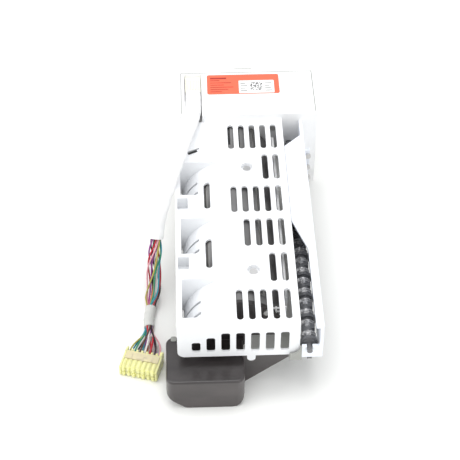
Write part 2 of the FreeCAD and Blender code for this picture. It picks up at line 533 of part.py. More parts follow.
def build_gear_plate():
    plate = box("plate_sheet", ("24", "plate_near", "-75.5"), ("98", "plate_thick", "57.5"))
    posts = [rod("plate_post", (x, "box_near + box_plate", z), "3", "plate_near - box_near - box_plate")
             for x, z in (("27.5", "-72.5"), ("118.5", "-72.5"), ("73", "-21.5"))]
    holes = [rod("plate_hole", (x, "plate_near - 1", z), radius, "plate_thick + 2")
             for x, z, radius in (("axis_x", "-eject_drop", "spindle + 0.3"),
                                  (IDLER[0], IDLER[2], "pin_radius"),
                                  (PINION[0], PINION[2], "4"),
                                  ("lever_x", "-lever_drop", "journal + 0.4"))]
    node("gear_plate", cut("plate_cut", join("plate_join", [plate] + posts), holes))
    near = "plate_near + plate_thick"
    can = rod("motor_can", (PINION[0], near, PINION[2]), "motor_radius", "motor_long")
    ears = box("motor_ears", ("%s - motor_ear" % PINION[0], near, "%s - 4" % PINION[2]),
               ("2 * motor_ear", "2", "8"))
    well = rod("motor_well", (PINION[0], near + " - 1", PINION[2]), "motor_shaft + 0.3", "12")
    ear_places = [("%s %s (motor_ear - 2.8)" % (PINION[0], side), near + " + 2", PINION[2]) for side in "-+"]
    ear_holes = [rod("ear_hole", (x, near + " - 1", z), "1.5", "4") for x, y, z in ear_places]
    node("drive_motor", cut("motor_cut", join("motor_join", [can, ears]), [well] + ear_holes))
    screws("motor_screws", ear_places, TOWARD_NEAR, 2.6, 1.6, 1.4, 2)
    boxes = []
    for left in ("36", "52"):
        shell = box("switch_shell", (left, "plate_near - 6.5", "-26.5"), ("12.8", "6.5", "6.5"))
        blade = box("switch_blade", (left + " + 1", "plate_near - 5", "-27.7"), ("10", "3.5", "1.2"))
        boxes.append(join("switch", [shell, blade]))
    node("limit_switches", group("switch_group", boxes))


# ---------------------------------------------------------------- gearbox housing and electrics

def build_gearbox():
    width = "box_right - box_left"
    near = "box_near + box_plate"
    tall = "lift + box_high"
    outer = box("case_block", ("box_left", near, "-lift"), (width, "box_far - " + "(%s)" % near, tall))
    hollow = box("case_hollow", ("box_left + box_wall", near, "-lift + box_wall"),
                 (width + " - 2 * box_wall", "box_far - box_wall - (%s)" % near, tall + " - 2 * box_wall"))
    duct = box("duct_block", ("duct_left - skin", near, "-duct_floor - skin"),
               ("duct_right - duct_left + 2 * skin", "duct_end + 1 - (%s)" % near,
                "duct_floor + box_high + skin"))
    duct_space = box("duct_space", ("duct_left", "box_near - 1", "-duct_floor"),
                     ("duct_right - duct_left", "duct_end - box_near + 1", "duct_floor + box_high + 1"))
    solids = [cut("case_shell", outer, [hollow]), duct]
    cutters = [duct_space]
    seam_z = "box_high - seam_deep"
    for left in ("box_left + seam_in", "box_right - seam_in - seam_wide"):
        cutters.append(box("side_seam", (left, near, seam_z),
                           ("seam_wide", "box_far - seam_in - (%s)" % near, "2")))
    cutters.append(box("far_seam", ("box_left + seam_in", "box_far - seam_in - seam_wide", seam_z),
                       (width + " - 2 * seam_in", "seam_wide", "2")))
    for x, y, z in FRONT_SCREWS:
        solids.append(rod("case_boss", (x, near, z), "3.6", "box_far - 1 - (%s)" % near))
        cutters.append(rod("case_boss_hole", (x, near + " - 1", z), "1.4", "14"))
    for x, y, z in GUARD_SCREWS:
        solids.append(rod("guard_boss", (x, near, z), "3.6", "box_far - 1 - (%s)" % near))
        cutters.append(rod("guard_boss_hole", (x, near + " - 1", z), "1.4", "14"))
    for x, y in BOARD_POSTS:
        solids.append(rod("board_post", (x, y, "-board_drop + board_thick"), "2.6",
                          "box_high - 1 + board_drop - board_thick", UPRIGHT))
        cutters.append(rod("board_post_hole", (x, y, "-board_drop"), "1.1", "8", UPRIGHT))
    for x, y in MOUNT_HOLES:
        solids.append(rod("mount_boss", (x, y, "-lift"), "4.5", "14", UPRIGHT))
        cutters.append(rod("mount_hole", (x, y, "-lift - 1"), "2.1", "13", UPRIGHT))
    solids.append(box("case_lug", ("lug_x", "box_far - 1", "box_high - 4"), ("lug_wide", "lug_out + 1", "4")))
    cutters.append(rod("button_hole", ("button_x", "box_far - box_wall - 1", "-button_drop"),
                       "button_radius + 0.3", "box_wall + 2"))
    node("gearbox_case", cut("case_cut", join("case_join", solids), cutters))

    cover = box("front_sheet", ("box_left", "box_near", "-lift"), (width, "box_plate", tall))
    holes = [rod("front_hole", (x, "box_near - 1", z), radius, "box_plate + 2")
             for x, z, radius in (("axis_x", "-eject_drop", "shaft_radius + shaft_play + bush_wall"),
                                  ("lever_x", "-lever_drop", "journal + 0.4"),
                                  ring_place("heater_angle", "heater_ring") + ("heater_radius + 0.3",),
                                  ring_place("180 - heater_angle", "heater_ring") + ("heater_radius + 0.3",),
                                  ring_place("90", "probe_ring") + ("probe_radius + 0.2",),
                                  ring_place("fuse_angle", "probe_ring") + ("probe_radius + 0.2",))]
    holes += [rod("front_screw_hole", (x, "box_near - 1", z), "1.6", "box_plate + 2")
              for x, y, z in FRONT_SCREWS + GUARD_SCREWS]
    duct_gap = box("duct_gap", ("duct_left", "box_near - 1", "-duct_floor"),
                   ("duct_right - duct_left", "box_plate + 2", "duct_floor + box_high + 1"))
    node("gearbox_front_cover", cut("front_cut", cover, holes + [duct_gap]))
    screws("front_cover_screws", FRONT_SCREWS, ALONG_Y, 2.8, 1.8, 1.4, 15)


def build_electrics():
    board = box("board_sheet", ("36", "268", "-board_drop"), ("90", "40", "board_thick"))
    holes = [rod("board_hole", (x, y, "-board_drop - 1"), "1.3", "board_thick + 2", UPRIGHT)
             for x, y in BOARD_POSTS]
    node("control_board", cut("board_cut", board, holes))
    parts = [box("relay", ("60", "276", "-board_drop - 15"), ("19", "15", "15")),
             box("relay", ("84", "276", "-board_drop - 15"), ("19", "15", "15")),
             box("chip", ("62", "295", "-board_drop - 2"), ("16", "8", "2")),
             rod("capacitor", ("112", "284", "-board_drop - 11"), "4", "11", UPRIGHT),
             box("board_socket", ("44", "280", "-board_drop - 8"), ("9", "20", "8"))]
    node("board_parts", group("board_part_group", parts))
    seats = [(x, y, "-board_drop") for x, y in BOARD_POSTS]
    screws("board_screws", seats, UPRIGHT, 2.2, 1.4, 1.1, 8)

    near = "box_far + button_out - 8.5"
    cap = rod("button_cap", ("button_x", near, "-button_drop"), "button_radius", "8.5")
    collar = rod("button_collar", ("button_x", "box_far - box_wall - 1.7", "-button_drop"), "5.5", "1.6")
    node("test_button", join("button_join", [cap, collar]))
    node("test_button_spring", ring("button_spring", ("button_x", "box_far - 13.8", "-button_drop"),
                                    "3.4", "2.6", "6"))
    node("button_switch", box("button_switch_box", ("104", "box_far - 19.8", "-button_drop - 4"),
                              ("box_right - box_wall - 104", "6", "8")))
    plate = box("label_plate", ("label_x", "label_y", "box_high"),
                ("label_wide", "label_long", "label_thick"))
    node("rating_label", plate)

    inset = "0.3"
    header = box("header_block", ("duct_left + " + inset, "plug_far", "-duct_floor"),
                 ("duct_right - duct_left - 0.6", "duct_end - plug_far", "duct_floor + box_high - 3"))
    node("harness_header", header)
    plug = box("plug_block", ("duct_left + 0.6", "plug_near", "-duct_floor"),
               ("duct_right - duct_left - 1.2", "plug_far - plug_near", "duct_floor + box_high - 2"))
    ribs = [box("plug_rib", ("duct_left + 2.2 + %g" % (2.6 * index), "plug_near + 3", "box_high - 2.1"),
                ("1", "plug_far - plug_near - 6", "0.9")) for index in range(5)]
    node("harness_plug", join("plug_join", [plug] + ribs))


# ---------------------------------------------------------------- right side: lever, guard, bracket

def build_lever():
    bar = rod("lever_bar", ("lever_x", "hub_near", "-lever_drop"), "hub_radius", "hub_far - hub_near")
    stub = rod("lever_stub", ("lever_x", "-stub_out", "-lever_drop"),
               "stub_radius", "stub_out + hub_near + 1")
    tail = rod("lever_journal", ("lever_x", "hub_far - 1", "-lever_drop"), "journal",
               "plate_near + plate_thick - hub_far + 1")
    solids = [bar, stub, tail]
    for index in range(10):
        start = "hub_near + 1 + %d * mold_pitch" % index
        solids.append(rod("lever_disc", ("lever_x", start, "-lever_drop"), "disc_radius", "disc_thick"))
        solids.append(box("lever_rib", ("lever_x - 1", start, "-lever_drop - disc_radius - 12"),
                          ("2 + paddle_thick", "1.6", "disc_radius + 12")))
        solids.append(box("lever_lug", ("lever_x + 1", start + " + mold_pitch / 2", "-lever_drop + 1"),
                          ("4.4", "4", "4.4")))
    low = "-paddle_low"
    outline = (("paddle_near", "-lever_drop"), ("paddle_near", low + " + 12"), ("paddle_near + 12", low),
               ("paddle_far - 12", low), ("paddle_far", low + " + 12"), ("paddle_far", "-lever_drop"))
    solids.append(slab("lever_paddle", outline, "lever_x - paddle_thick / 2", "paddle_thick", "YZ_Plane"))
    node("level_lever", join("lever_join", solids))
    cam = ring("cam_ring", ("lever_x", "plate_near - 2.4", "-lever_drop"), "5.5", "journal", "2")
    arm = box("cam_arm", ("lever_x + journal + 0.5", "plate_near - 2.4", "-lever_drop - 1.5"),
              ("7", "2", "3"))
    node("lever_cam", join("cam_join", [cam, arm]))
    node("lever_spring", ring("lever_coil", ("lever_x", "box_near + box_plate", "-lever_drop"),
                              "4.8", "3.6", "plate_near - 2.8 - box_near - box_plate"))


def build_side_guard():
    wall = box("guard_wall", ("guard_left", "guard_near", "-guard_low"),
               ("guard_right - guard_left", "box_near - guard_near", "guard_low"))
    low = "-flap_top - skin"
    body = doc.addObject("PartDesign::Body", "guard_flap")
    pad = body.newObject("PartDesign::Pad", "guard_flap_pad")
    pad.Profile = profile(body, "guard_flap_outline", "XY_Plane",
                          (("guard_left + 1", "guard_near"), ("guard_left + 1", "231"), ("flap_inner", "215"),
                           ("flap_inner", "118"), ("ledge_inner", "84"), ("ledge_inner", "guard_near")), low)
    bind(pad, Length="skin")
    body.Tip = pad
    tab = box("guard_tab", ("guard_right - 1", "box_near - 3", "-62"), ("10", "3", "26"))
    holes = [rod("guard_hole", (x, "box_near - 4", z), "1.7", "5") for x, y, z in GUARD_SCREWS]
    end = slab("guard_end", (("bracket_right", "-guard_low"), ("guard_left + 1", "-guard_low"),
                             ("guard_left + 1", "-bracket_top"), ("bracket_right", "-bracket_top")),
               "guard_near", "bracket_thick")
    saddle = rod("saddle_round", ("lever_x", "guard_near - 1", "-lever_drop"), "stub_radius + 0.3",
                 "bracket_thick + 2")
    gap = box("saddle_gap", ("lever_x - stub_radius", "guard_near - 1", "-lever_drop"),
              ("2 * stub_radius", "bracket_thick + 2", "lever_drop - skin - flap_top - 1"))
    node("side_guard", cut("guard_cut", join("guard_join", [wall, body, tab, end]), holes + [saddle, gap]))
    seats = [(x, "box_near - 3", z) for x, y, z in GUARD_SCREWS]
    screws("guard_screws", seats, ALONG_Y, 2.8, 1.8, 1.4, 18)

    outline = [("bracket_left", "-bracket_low"), ("bracket_right", "-bracket_low")]
    outline += arc_points("bracket_right - bracket_bend", "-bracket_top", "bracket_bend", -8, -84)
    plate = slab("bracket_plate", outline, "guard_near", "bracket_thick")
    step = "panel_y + skin"
    sole = box("bracket_sole", ("bracket_left", "guard_near", "-bracket_low"),
               ("foot_right - bracket_left", step + " - guard_near", "2.4"))
    foot = box("bracket_foot", ("foot_left", step, "-bracket_low"),
               ("foot_right - foot_left", "mold_start - flange_thick - (%s)" % step, "2.4"))
    node("end_bracket", join("bracket_join", [plate, sole, foot]))


# ---------------------------------------------------------------- harness

def tangent_path(points):
    """Straight runs joined by arcs: each radius is 0.45 of the shorter run over tan(half the turn)."""
    edges = []
    start = points[0]
    radii = []
    for before, corner, after in zip(points, points[1:], points[2:]):
        way_in = (corner - before).normalize()
        way_out = (after - corner).normalize()
        turn = way_in.getAngle(way_out)
        reach = 0.45 * min((corner - before).Length, (after - corner).Length)
        radii.append(reach / math.tan(turn / 2))
        first = corner - way_in * reach
        last = corner + way_out * reach
        bisector = (way_out - way_in).normalize()
        centre = corner + bisector * math.hypot(radii[-1], reach)
        middle = centre - bisector * radii[-1]
        edges.append(Part.LineSegment(start, first).toShape())
        edges.append(Part.Arc(first, middle, last).toShape())
        start = last
    edges.append(Part.LineSegment(start, points[-1]).toShape())
    return Part.Wire(edges), radii


def tube(points, radius):
    path, radii = tangent_path(points)
    circle = Part.Circle(points[0], points[1] - points[0], radius)
    section = Part.Wire([circle.toShape()])
    solid = path.makePipeShell([section], True, False)
    ratio = solid.Volume / (math.pi * radius ** 2 * path.Length)
    print("tube r %.2f length %.1f volume/expected %.4f radii %s"
          % (radius, path.Length, ratio, [round(value) for value in radii]))
    return solid


def shaped(name, shape):
    item = doc.addObject("Part::Feature", name)
    item.Shape = shape
    return item


HALF_SPACE = 500
ROUTE = [FreeCAD.Vector(*place) for place in (
    (18, 287, 4), (18, 265, 4), (15, 240, 9.5), (8, 211, 15), (2.5, 184, 16), (-6, 161, 6),
    (-15.5, 145, -19), (-19.5, 127, -44), (-21.8, 109, -63), (-23.6, 91, -73), (-26, 71, -73.2),
    (-24.6, 55, -73.1), (-25.17, 42.6, -72.2), (-27.87, 33.18, -72.2))]


def jacket(core, radius, start, stop):
    """A thin layer round the bundle, from one place on the route to another, as run number and share."""
    layer = tube(ROUTE, radius).cut(core)
    for (run, share), side in ((start, 1), (stop, -1)):
        way = (ROUTE[run + 1] - ROUTE[run]) * side
        place = ROUTE[run] + (ROUTE[run + 1] - ROUTE[run]) * share
        layer = layer.common(Part.makeCylinder(HALF_SPACE, HALF_SPACE, place, way))
    return layer


def build_harness():
    core = tube(ROUTE, size_of("cable_radius"))
    node("harness_wires", shaped("wires_tube", core))
    sleeve = jacket(core, size_of("sleeve_radius"), (0, 0), (6, 0.6))
    node("harness_sleeve", shaped("sleeve_tube", sleeve))
    tape = jacket(core, size_of("tape_radius"), (9, 0.2), (10, 0.4))
    node("harness_tape", shaped("tape_ring", tape))

    turn = FreeCAD.Rotation(FreeCAD.Vector(0, 0, 1), size_of("connector_turn"))
    shell = box("connector_shell", ("-connector_wide / 2", "-connector_long / 2", "0"),
                ("connector_wide", "connector_long", "connector_high"))
    wells = []
    pins = []
    for index in range(7):
        for level in range(2):
            x = "(%d - 3) * (connector_wide - 3) / ways" % index
            z = "connector_high * (%d + 0.5) / 2" % level
            wells.append(box("connector_well", (x + " - 1.6", "-connector_long / 2 - 1", z + " - 2.2"),
                             ("3.2", "connector_long - 6", "4.4")))
            pins.append(box("contact", (x + " - 0.9", "-connector_long / 2 + 4", z + " - 2.2"),
                            ("1.8", "connector_long - 11", "1.6")))
    place = ("connector_x", "connector_y", "-lift")
    node("wire_connector", cut("connector_cut", shell, wells), place, turn)
    node("connector_contacts", group("contact_group", pins), place, turn)


# ---------------------------------------------------------------- shared places

UPSIDE_DOWN = FreeCAD.Rotation(FreeCAD.Vector(1, 0, 0), 180)
CUP_SCREWS = [ring_place(angle, "37.8") for angle in ("50", "130")]
CUP_SCREWS = [(x, "mold_start - flange_thick - 1", z) for x, z in CUP_SCREWS]
STRIP_SCREWS = [("strip_screw_x", "strip_start + %d" % far) for far in (8, 103, 198)]
IDLER = ("axis_x + (teeth_out + teeth_idle) / 2 + gear_slack", "gear_near", "-eject_drop")
PINION = (IDLER[0] + " + ((teeth_idle + teeth_motor) / 2 + gear_slack) * cos(pinion_dip)", "gear_near",
          "-eject_drop - ((teeth_idle + teeth_motor) / 2 + gear_slack) * sin(pinion_dip)")
FRONT_SCREWS = [(x, "box_near", z) for x, z in (("11.4", "-72"), ("127", "-72"), ("92", "-8"), ("16", "-16"))]
GUARD_SCREWS = [("126", "box_near", z) for z in ("-42", "-56")]
BOARD_POSTS = [(x, y) for x in ("40", "122") for y in ("272", "304")]
MOUNT_HOLES = [(x, "box_far - 14") for x in ("22", "76")]

build_vent_cover()
build_mold()
build_stripper()
build_water_cup()
build_ejector()
build_gears()
build_gear_plate()
build_gearbox()
build_electrics()
build_lever()
build_side_guard()
build_harness()
doc.recompute()

for item in doc.Objects:
    if "Invalid" in item.State or "Error" in item.State:
        raise RuntimeError("%s failed: %s" % (item.Name, item.State))
os.makedirs("parts", exist_ok=True)
for item in NODES:
    shape = item.Shape
    if shape.isNull() or not shape.isValid() or not shape.Solids:
        raise RuntimeError("%s has no valid solid" % item.Label)
    shape.exportStep("parts/%s.step" % item.Label)
    low, high = shape.BoundBox, shape.BoundBox
    print("%-22s solids %2d  x %7.1f %7.1f  y %7.1f %7.1f  z %6.1f %6.1f  cm3 %.2f"
          % (item.Label, len(shape.Solids), low.XMin, high.XMax, low.YMin, high.YMax, low.ZMin, high.ZMax,
             shape.Volume / 1000))
print(len(NODES), "nodes")
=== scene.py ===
import json
import math
import random

import bmesh
import bpy
import numpy as np
from mathutils import Matrix, Vector


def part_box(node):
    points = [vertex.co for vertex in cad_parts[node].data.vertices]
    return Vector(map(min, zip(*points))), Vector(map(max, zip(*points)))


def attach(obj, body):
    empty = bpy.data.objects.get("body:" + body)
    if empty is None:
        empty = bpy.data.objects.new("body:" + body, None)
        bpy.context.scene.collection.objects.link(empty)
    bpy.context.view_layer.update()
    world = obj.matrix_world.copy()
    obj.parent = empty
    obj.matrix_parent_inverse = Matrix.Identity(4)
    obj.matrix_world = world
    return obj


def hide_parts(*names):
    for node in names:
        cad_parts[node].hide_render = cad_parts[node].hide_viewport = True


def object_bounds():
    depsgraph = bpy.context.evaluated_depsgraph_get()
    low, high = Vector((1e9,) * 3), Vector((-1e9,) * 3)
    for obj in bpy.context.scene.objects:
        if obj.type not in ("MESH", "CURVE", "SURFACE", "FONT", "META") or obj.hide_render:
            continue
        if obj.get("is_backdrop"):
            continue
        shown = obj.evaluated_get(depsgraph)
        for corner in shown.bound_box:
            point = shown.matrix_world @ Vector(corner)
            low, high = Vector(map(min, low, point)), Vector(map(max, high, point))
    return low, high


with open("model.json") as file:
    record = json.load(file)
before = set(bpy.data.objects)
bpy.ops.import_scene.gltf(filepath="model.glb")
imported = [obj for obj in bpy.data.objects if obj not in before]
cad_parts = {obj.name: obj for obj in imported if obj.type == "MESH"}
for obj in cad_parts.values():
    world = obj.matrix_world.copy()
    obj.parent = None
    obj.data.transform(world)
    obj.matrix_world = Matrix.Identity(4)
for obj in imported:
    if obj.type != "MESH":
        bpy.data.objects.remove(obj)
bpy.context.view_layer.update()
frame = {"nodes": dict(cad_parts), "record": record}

# Refrigerator ice maker, lying upside down. Places are given in millimetres from the vent
# cover's top left near corner, as in the CAD source, and place() puts them in the row frame.
MID = Vector((61.5, 148.5, -78.0))
MM = 0.001


def place(x, y, z):
    return (Vector((x, y, z)) - MID) * MM


# ---------------------------------------------------------------- camera, light and floor

CAMERA_PLACE = (-0.0438, -0.8577, 0.8949)
CAMERA_TILT, CAMERA_TURN = math.radians(45), math.radians(-2.036)
CAMERA_LENS, CAMERA_SENSOR = 105.54, 36
SKY_NEAR, SKY_FAR = (0.97, 0.985, 1.0), (0.5, 0.51, 0.53)
SKY_STRENGTH = 0.97
FLOOR_DARK, FLOOR_LIGHT = (0.9, 0.9, 0.875), (0.92, 0.92, 0.9)
FLOOR_REACH = 3

scene = bpy.context.scene
scene.view_settings.view_transform = "Standard"
camera_data = bpy.data.cameras.new("camera")
camera_data.lens = CAMERA_LENS
camera_data.sensor_width = CAMERA_SENSOR
camera_data.clip_end = 10
camera = bpy.data.objects.new("camera", camera_data)
camera.location = CAMERA_PLACE
camera.rotation_euler = (CAMERA_TILT, 0, CAMERA_TURN)
scene.collection.objects.link(camera)
scene.camera = camera

world = bpy.data.worlds.new("studio")
world.use_nodes = True
sky_nodes, sky_links = world.node_tree.nodes, world.node_tree.links
sky_place = sky_nodes.new("ShaderNodeTexCoord")
sky_axes = sky_nodes.new("ShaderNodeSeparateXYZ")
sky_links.new(sky_place.outputs["Generated"], sky_axes.inputs["Vector"])
sky_tint = sky_nodes.new("ShaderNodeValToRGB")
sky_ramp = sky_tint.color_ramp.elements
sky_ramp[0].position = 0.1
sky_ramp[0].color = (*SKY_NEAR, 1)
sky_ramp[1].position = 0.75
sky_ramp[1].color = (*SKY_FAR, 1)
sky_links.new(sky_axes.outputs["Y"], sky_tint.inputs["Fac"])
sky_links.new(sky_tint.outputs["Color"], sky_nodes["Background"].inputs["Color"])
sky_nodes["Background"].inputs["Strength"].default_value = SKY_STRENGTH
scene.world = world


def area_light(name, location, target, size, power, colour=(1, 1, 1)):
    data = bpy.data.lights.new(name, "AREA")
    data.shape = "DISK"
    data.size = size
    data.energy = power
    data.color = colour
    lamp = bpy.data.objects.new(name, data)
    lamp.location = location
    lamp.rotation_euler = (Vector(target) - Vector(location)).to_track_quat("-Z", "Y").to_euler()
    scene.collection.objects.link(lamp)


area_light("key", location=(-0.1, 0.2, 1.7), target=(0, 0, 0), size=1.5, power=15.5)
area_light("front_fill", location=(0.8, -1.1, 0.7), target=(0, 0, 0.03), size=0.9, power=2.6,
           colour=(1, 0.985, 0.96))
area_light("left_fill", location=(-1.1, -0.2, 0.6), target=(0, 0, 0), size=0.9, power=3.6,
           colour=(1, 0.99, 0.96))

# ---------------------------------------------------------------- materials

GRAIN_HEIGHT = 0.00003
LINE_HEIGHT = 0.00002
THREAD_HEIGHT = 0.00008
PLASTIC_BLOTCH = 35.0


def new_material(name):
    material = bpy.data.materials.new(name)
    material.use_nodes = True
    nodes = material.node_tree.nodes
    return material, nodes, material.node_tree.links, nodes["Principled BSDF"]


def noise(nodes, links, scale, detail=3.0, stretch=None):
    """A noise texture in object space, as a node; stretch lengthens it along an axis."""
    coordinates = nodes.new("ShaderNodeTexCoord")
    mapping = nodes.new("ShaderNodeMapping")
    if stretch:
        mapping.inputs["Scale"].default_value = stretch
    texture = nodes.new("ShaderNodeTexNoise")
    texture.inputs["Scale"].default_value = scale
    texture.inputs["Detail"].default_value = detail
    links.new(coordinates.outputs["Object"], mapping.inputs["Vector"])
    links.new(mapping.outputs["Vector"], texture.inputs["Vector"])
    return texture


def ramp(nodes, links, source, low, high, start=0.3, end=0.7):
    item = nodes.new("ShaderNodeValToRGB")
    item.color_ramp.elements[0].position = start
    item.color_ramp.elements[0].color = (*low, 1)
    item.color_ramp.elements[1].position = end
    item.color_ramp.elements[1].color = (*high, 1)
    links.new(source, item.inputs["Fac"])
    return item.outputs["Color"]


def spread_range(nodes, links, source, low, high):
    item = nodes.new("ShaderNodeMapRange")
    item.inputs["To Min"].default_value = low
    item.inputs["To Max"].default_value = high
    links.new(source, item.inputs["Value"])
    return item.outputs["Result"]


def add_tint(nodes, links, shader, source, colour, vary):
    """Varies the base colour between the given one and one that is darker by the share vary."""
    dark = [channel * (1 - vary) for channel in colour]
    links.new(ramp(nodes, links, source, dark, colour), shader.inputs["Base Color"])


def add_gloss(nodes, links, shader, source, low, high):
    links.new(spread_range(nodes, links, source, low, high), shader.inputs["Roughness"])


def add_bump(nodes, links, shader, source, height, strength):
    bump = nodes.new("ShaderNodeBump")
    bump.inputs["Distance"].default_value = height
    bump.inputs["Strength"].default_value = strength
    links.new(source, bump.inputs["Height"])
    links.new(bump.outputs["Normal"], shader.inputs["Normal"])


def plastic(name, colour, rough=0.4, vary=0.05, grain=1500.0, bump=0.25, coat=0.0):
    """Moulded plastic: cloudy colour, uneven gloss and a fine moulded grain."""
    material, nodes, links, shader = new_material(name)
    cloud = noise(nodes, links, PLASTIC_BLOTCH, 4.0)
    add_tint(nodes, links, shader, cloud.outputs["Fac"], colour, vary)
    smear = noise(nodes, links, PLASTIC_BLOTCH * 4, 5.0)
    add_gloss(nodes, links, shader, smear.outputs["Fac"], rough - 0.08, rough + 0.08)
    texture = noise(nodes, links, grain, 2.0)
    add_bump(nodes, links, shader, texture.outputs["Fac"], GRAIN_HEIGHT, bump)
    shader.inputs["IOR"].default_value = 1.5
    shader.inputs["Coat Weight"].default_value = coat
    shader.inputs["Coat Roughness"].default_value = 0.12
    return material


def metal(name, colour, rough=0.35, stretch=(1, 0.03, 1), bump=0.2, vary=0.15, metallic=1.0):
    """Drawn or rolled metal: fine lines along one axis and uneven brightness."""
    material, nodes, links, shader = new_material(name)
    lines = noise(nodes, links, 1800, 3.0, stretch)
    add_tint(nodes, links, shader, lines.outputs["Fac"], colour, vary)
    smear = noise(nodes, links, 90, 4.0)
    add_gloss(nodes, links, shader, smear.outputs["Fac"], rough - 0.1, rough + 0.1)
    add_bump(nodes, links, shader, lines.outputs["Fac"], LINE_HEIGHT, bump)
    shader.inputs["Metallic"].default_value = metallic
    return material


def weave(name, colour, scale=1400.0):
    """Woven sleeve or tape: two crossed bands and a soft sheen."""
    material, nodes, links, shader = new_material(name)
    coordinates = nodes.new("ShaderNodeTexCoord")
    both = nodes.new("ShaderNodeMath")
    both.operation = "ADD"
    for socket, direction in enumerate(("X", "Y")):
        bands = nodes.new("ShaderNodeTexWave")
        bands.bands_direction = direction
        bands.inputs["Scale"].default_value = scale
        bands.inputs["Distortion"].default_value = 1.5
        links.new(coordinates.outputs["Object"], bands.inputs["Vector"])
        links.new(bands.outputs["Fac"], both.inputs[socket])
    cloud = noise(nodes, links, 120, 4.0)
    add_tint(nodes, links, shader, cloud.outputs["Fac"], colour, 0.07)
    add_bump(nodes, links, shader, both.outputs["Value"], THREAD_HEIGHT, 0.5)
    shader.inputs["Roughness"].default_value = 0.75
    shader.inputs["Sheen Weight"].default_value = 0.2
    shader.inputs["Sheen Roughness"].default_value = 0.5
    return material


def cup_plastic(name):
    """Dark glossy plastic with moulding streaks and fine scratches, and painted shade: darker where it
    faces up.
    """
    material, nodes, links, shader = new_material(name)
    streaks = noise(nodes, links, 60, 5.0, (0.35, 1, 1))
    tint = ramp(nodes, links, streaks.outputs["Fac"], (0.04, 0.034, 0.034), (0.066, 0.056, 0.056))
    # painted shade: faces turning up are darkened to 0.6 of the streaked colour, the rest lightened to
    # 1.08
    surface = nodes.new("ShaderNodeNewGeometry")
    axes = nodes.new("ShaderNodeSeparateXYZ")
    links.new(surface.outputs["Normal"], axes.inputs["Vector"])
    painted_top_shade = spread_range(nodes, links, axes.outputs["Z"], 1.08, 0.6)
    darker = nodes.new("ShaderNodeVectorMath")
    darker.operation = "SCALE"
    links.new(tint, darker.inputs[0])
    links.new(painted_top_shade, darker.inputs["Scale"])
    links.new(darker.outputs["Vector"], shader.inputs["Base Color"])
    scratches = noise(nodes, links, 900, 2.0, (0.08, 1, 1))
    add_gloss(nodes, links, shader, scratches.outputs["Fac"], 0.24, 0.42)
    add_bump(nodes, links, shader, scratches.outputs["Fac"], LINE_HEIGHT, 0.3)
    shader.inputs["Coat Weight"].default_value = 0.25
    shader.inputs["Coat Roughness"].default_value = 0.2
    return material


def clear_nylon(name, colour):
    """Milky nylon that lets a little light through."""
    material, nodes, links, shader = new_material(name)
    cloud = noise(nodes, links, 160, 4.0)
    add_tint(nodes, links, shader, cloud.outputs["Fac"], colour, 0.07)
    grain = noise(nodes, links, 1600, 2.0)
    add_bump(nodes, links, shader, grain.outputs["Fac"], GRAIN_HEIGHT, 0.2)
    shader.inputs["Roughness"].default_value = 0.3
    shader.inputs["Transmission Weight"].default_value = 0.08
    shader.inputs["Subsurface Weight"].default_value = 0.4
    shader.inputs["Subsurface Radius"].default_value = (0.004, 0.004, 0.002)
    shader.inputs["Subsurface Scale"].default_value = 1.0
    return material


PLASTICS = {
    "cover_white": dict(colour=(0.90, 0.91, 0.925), rough=0.42, vary=0.03),
    "case_white": dict(colour=(0.92, 0.92, 0.92), vary=0.03),
    # the guard's blue tint is painted shade, the bluish cast of its shaded inner face; the plastic is
    # white
    "guard_white": dict(colour=(0.87, 0.9, 0.96), vary=0.03),
    "bracket_grey": dict(colour=(0.36, 0.365, 0.34), vary=0.12),
    "lever_dark": dict(colour=(0.14, 0.14, 0.147), rough=0.22, vary=0.5, grain=900, bump=0.4, coat=0.8),
    "mold_coating": dict(colour=(0.24, 0.235, 0.235), rough=0.45, vary=0.3, grain=2500, bump=0.6),
    "sensor_epoxy": dict(colour=(0.02, 0.02, 0.02), rough=0.25, vary=0.2, bump=0.2, coat=0.3),
    "stripper_white": dict(colour=(0.82, 0.82, 0.81), rough=0.45, vary=0.06),
    "ejector_white": dict(colour=(0.76, 0.76, 0.74), vary=0.06),
    "gear_acetal": dict(colour=(0.78, 0.76, 0.66), rough=0.33),
    "bush_acetal": dict(colour=(0.82, 0.81, 0.77), rough=0.33),
    "plate_grey": dict(colour=(0.55, 0.55, 0.55), rough=0.45, vary=0.08),
    "switch_black": dict(colour=(0.02, 0.02, 0.02), vary=0.2),
    "board_green": dict(colour=(0.02, 0.12, 0.045), rough=0.3, vary=0.3, grain=1200, bump=0.3, coat=0.4),
    "component_black": dict(colour=(0.022, 0.022, 0.025), rough=0.42, vary=0.3),
    "button_blue": dict(colour=(0.05, 0.16, 0.45), rough=0.3, vary=0.1),
    "plug_ivory": dict(colour=(0.87, 0.855, 0.75), rough=0.42),
    "label_orange": dict(colour=(0.93, 0.16, 0.085), rough=0.5, vary=0.08, grain=2500, bump=0.15),
    "label_white": dict(colour=(0.9, 0.9, 0.89), rough=0.5, vary=0.04, grain=2500, bump=0.15),
    "label_ink": dict(colour=(0.03, 0.03, 0.03), rough=0.55, vary=0.3, grain=2500, bump=0.15),
    "label_red_ink": dict(colour=(0.42, 0.03, 0.02), rough=0.55, vary=0.3, grain=2500, bump=0.15),
}
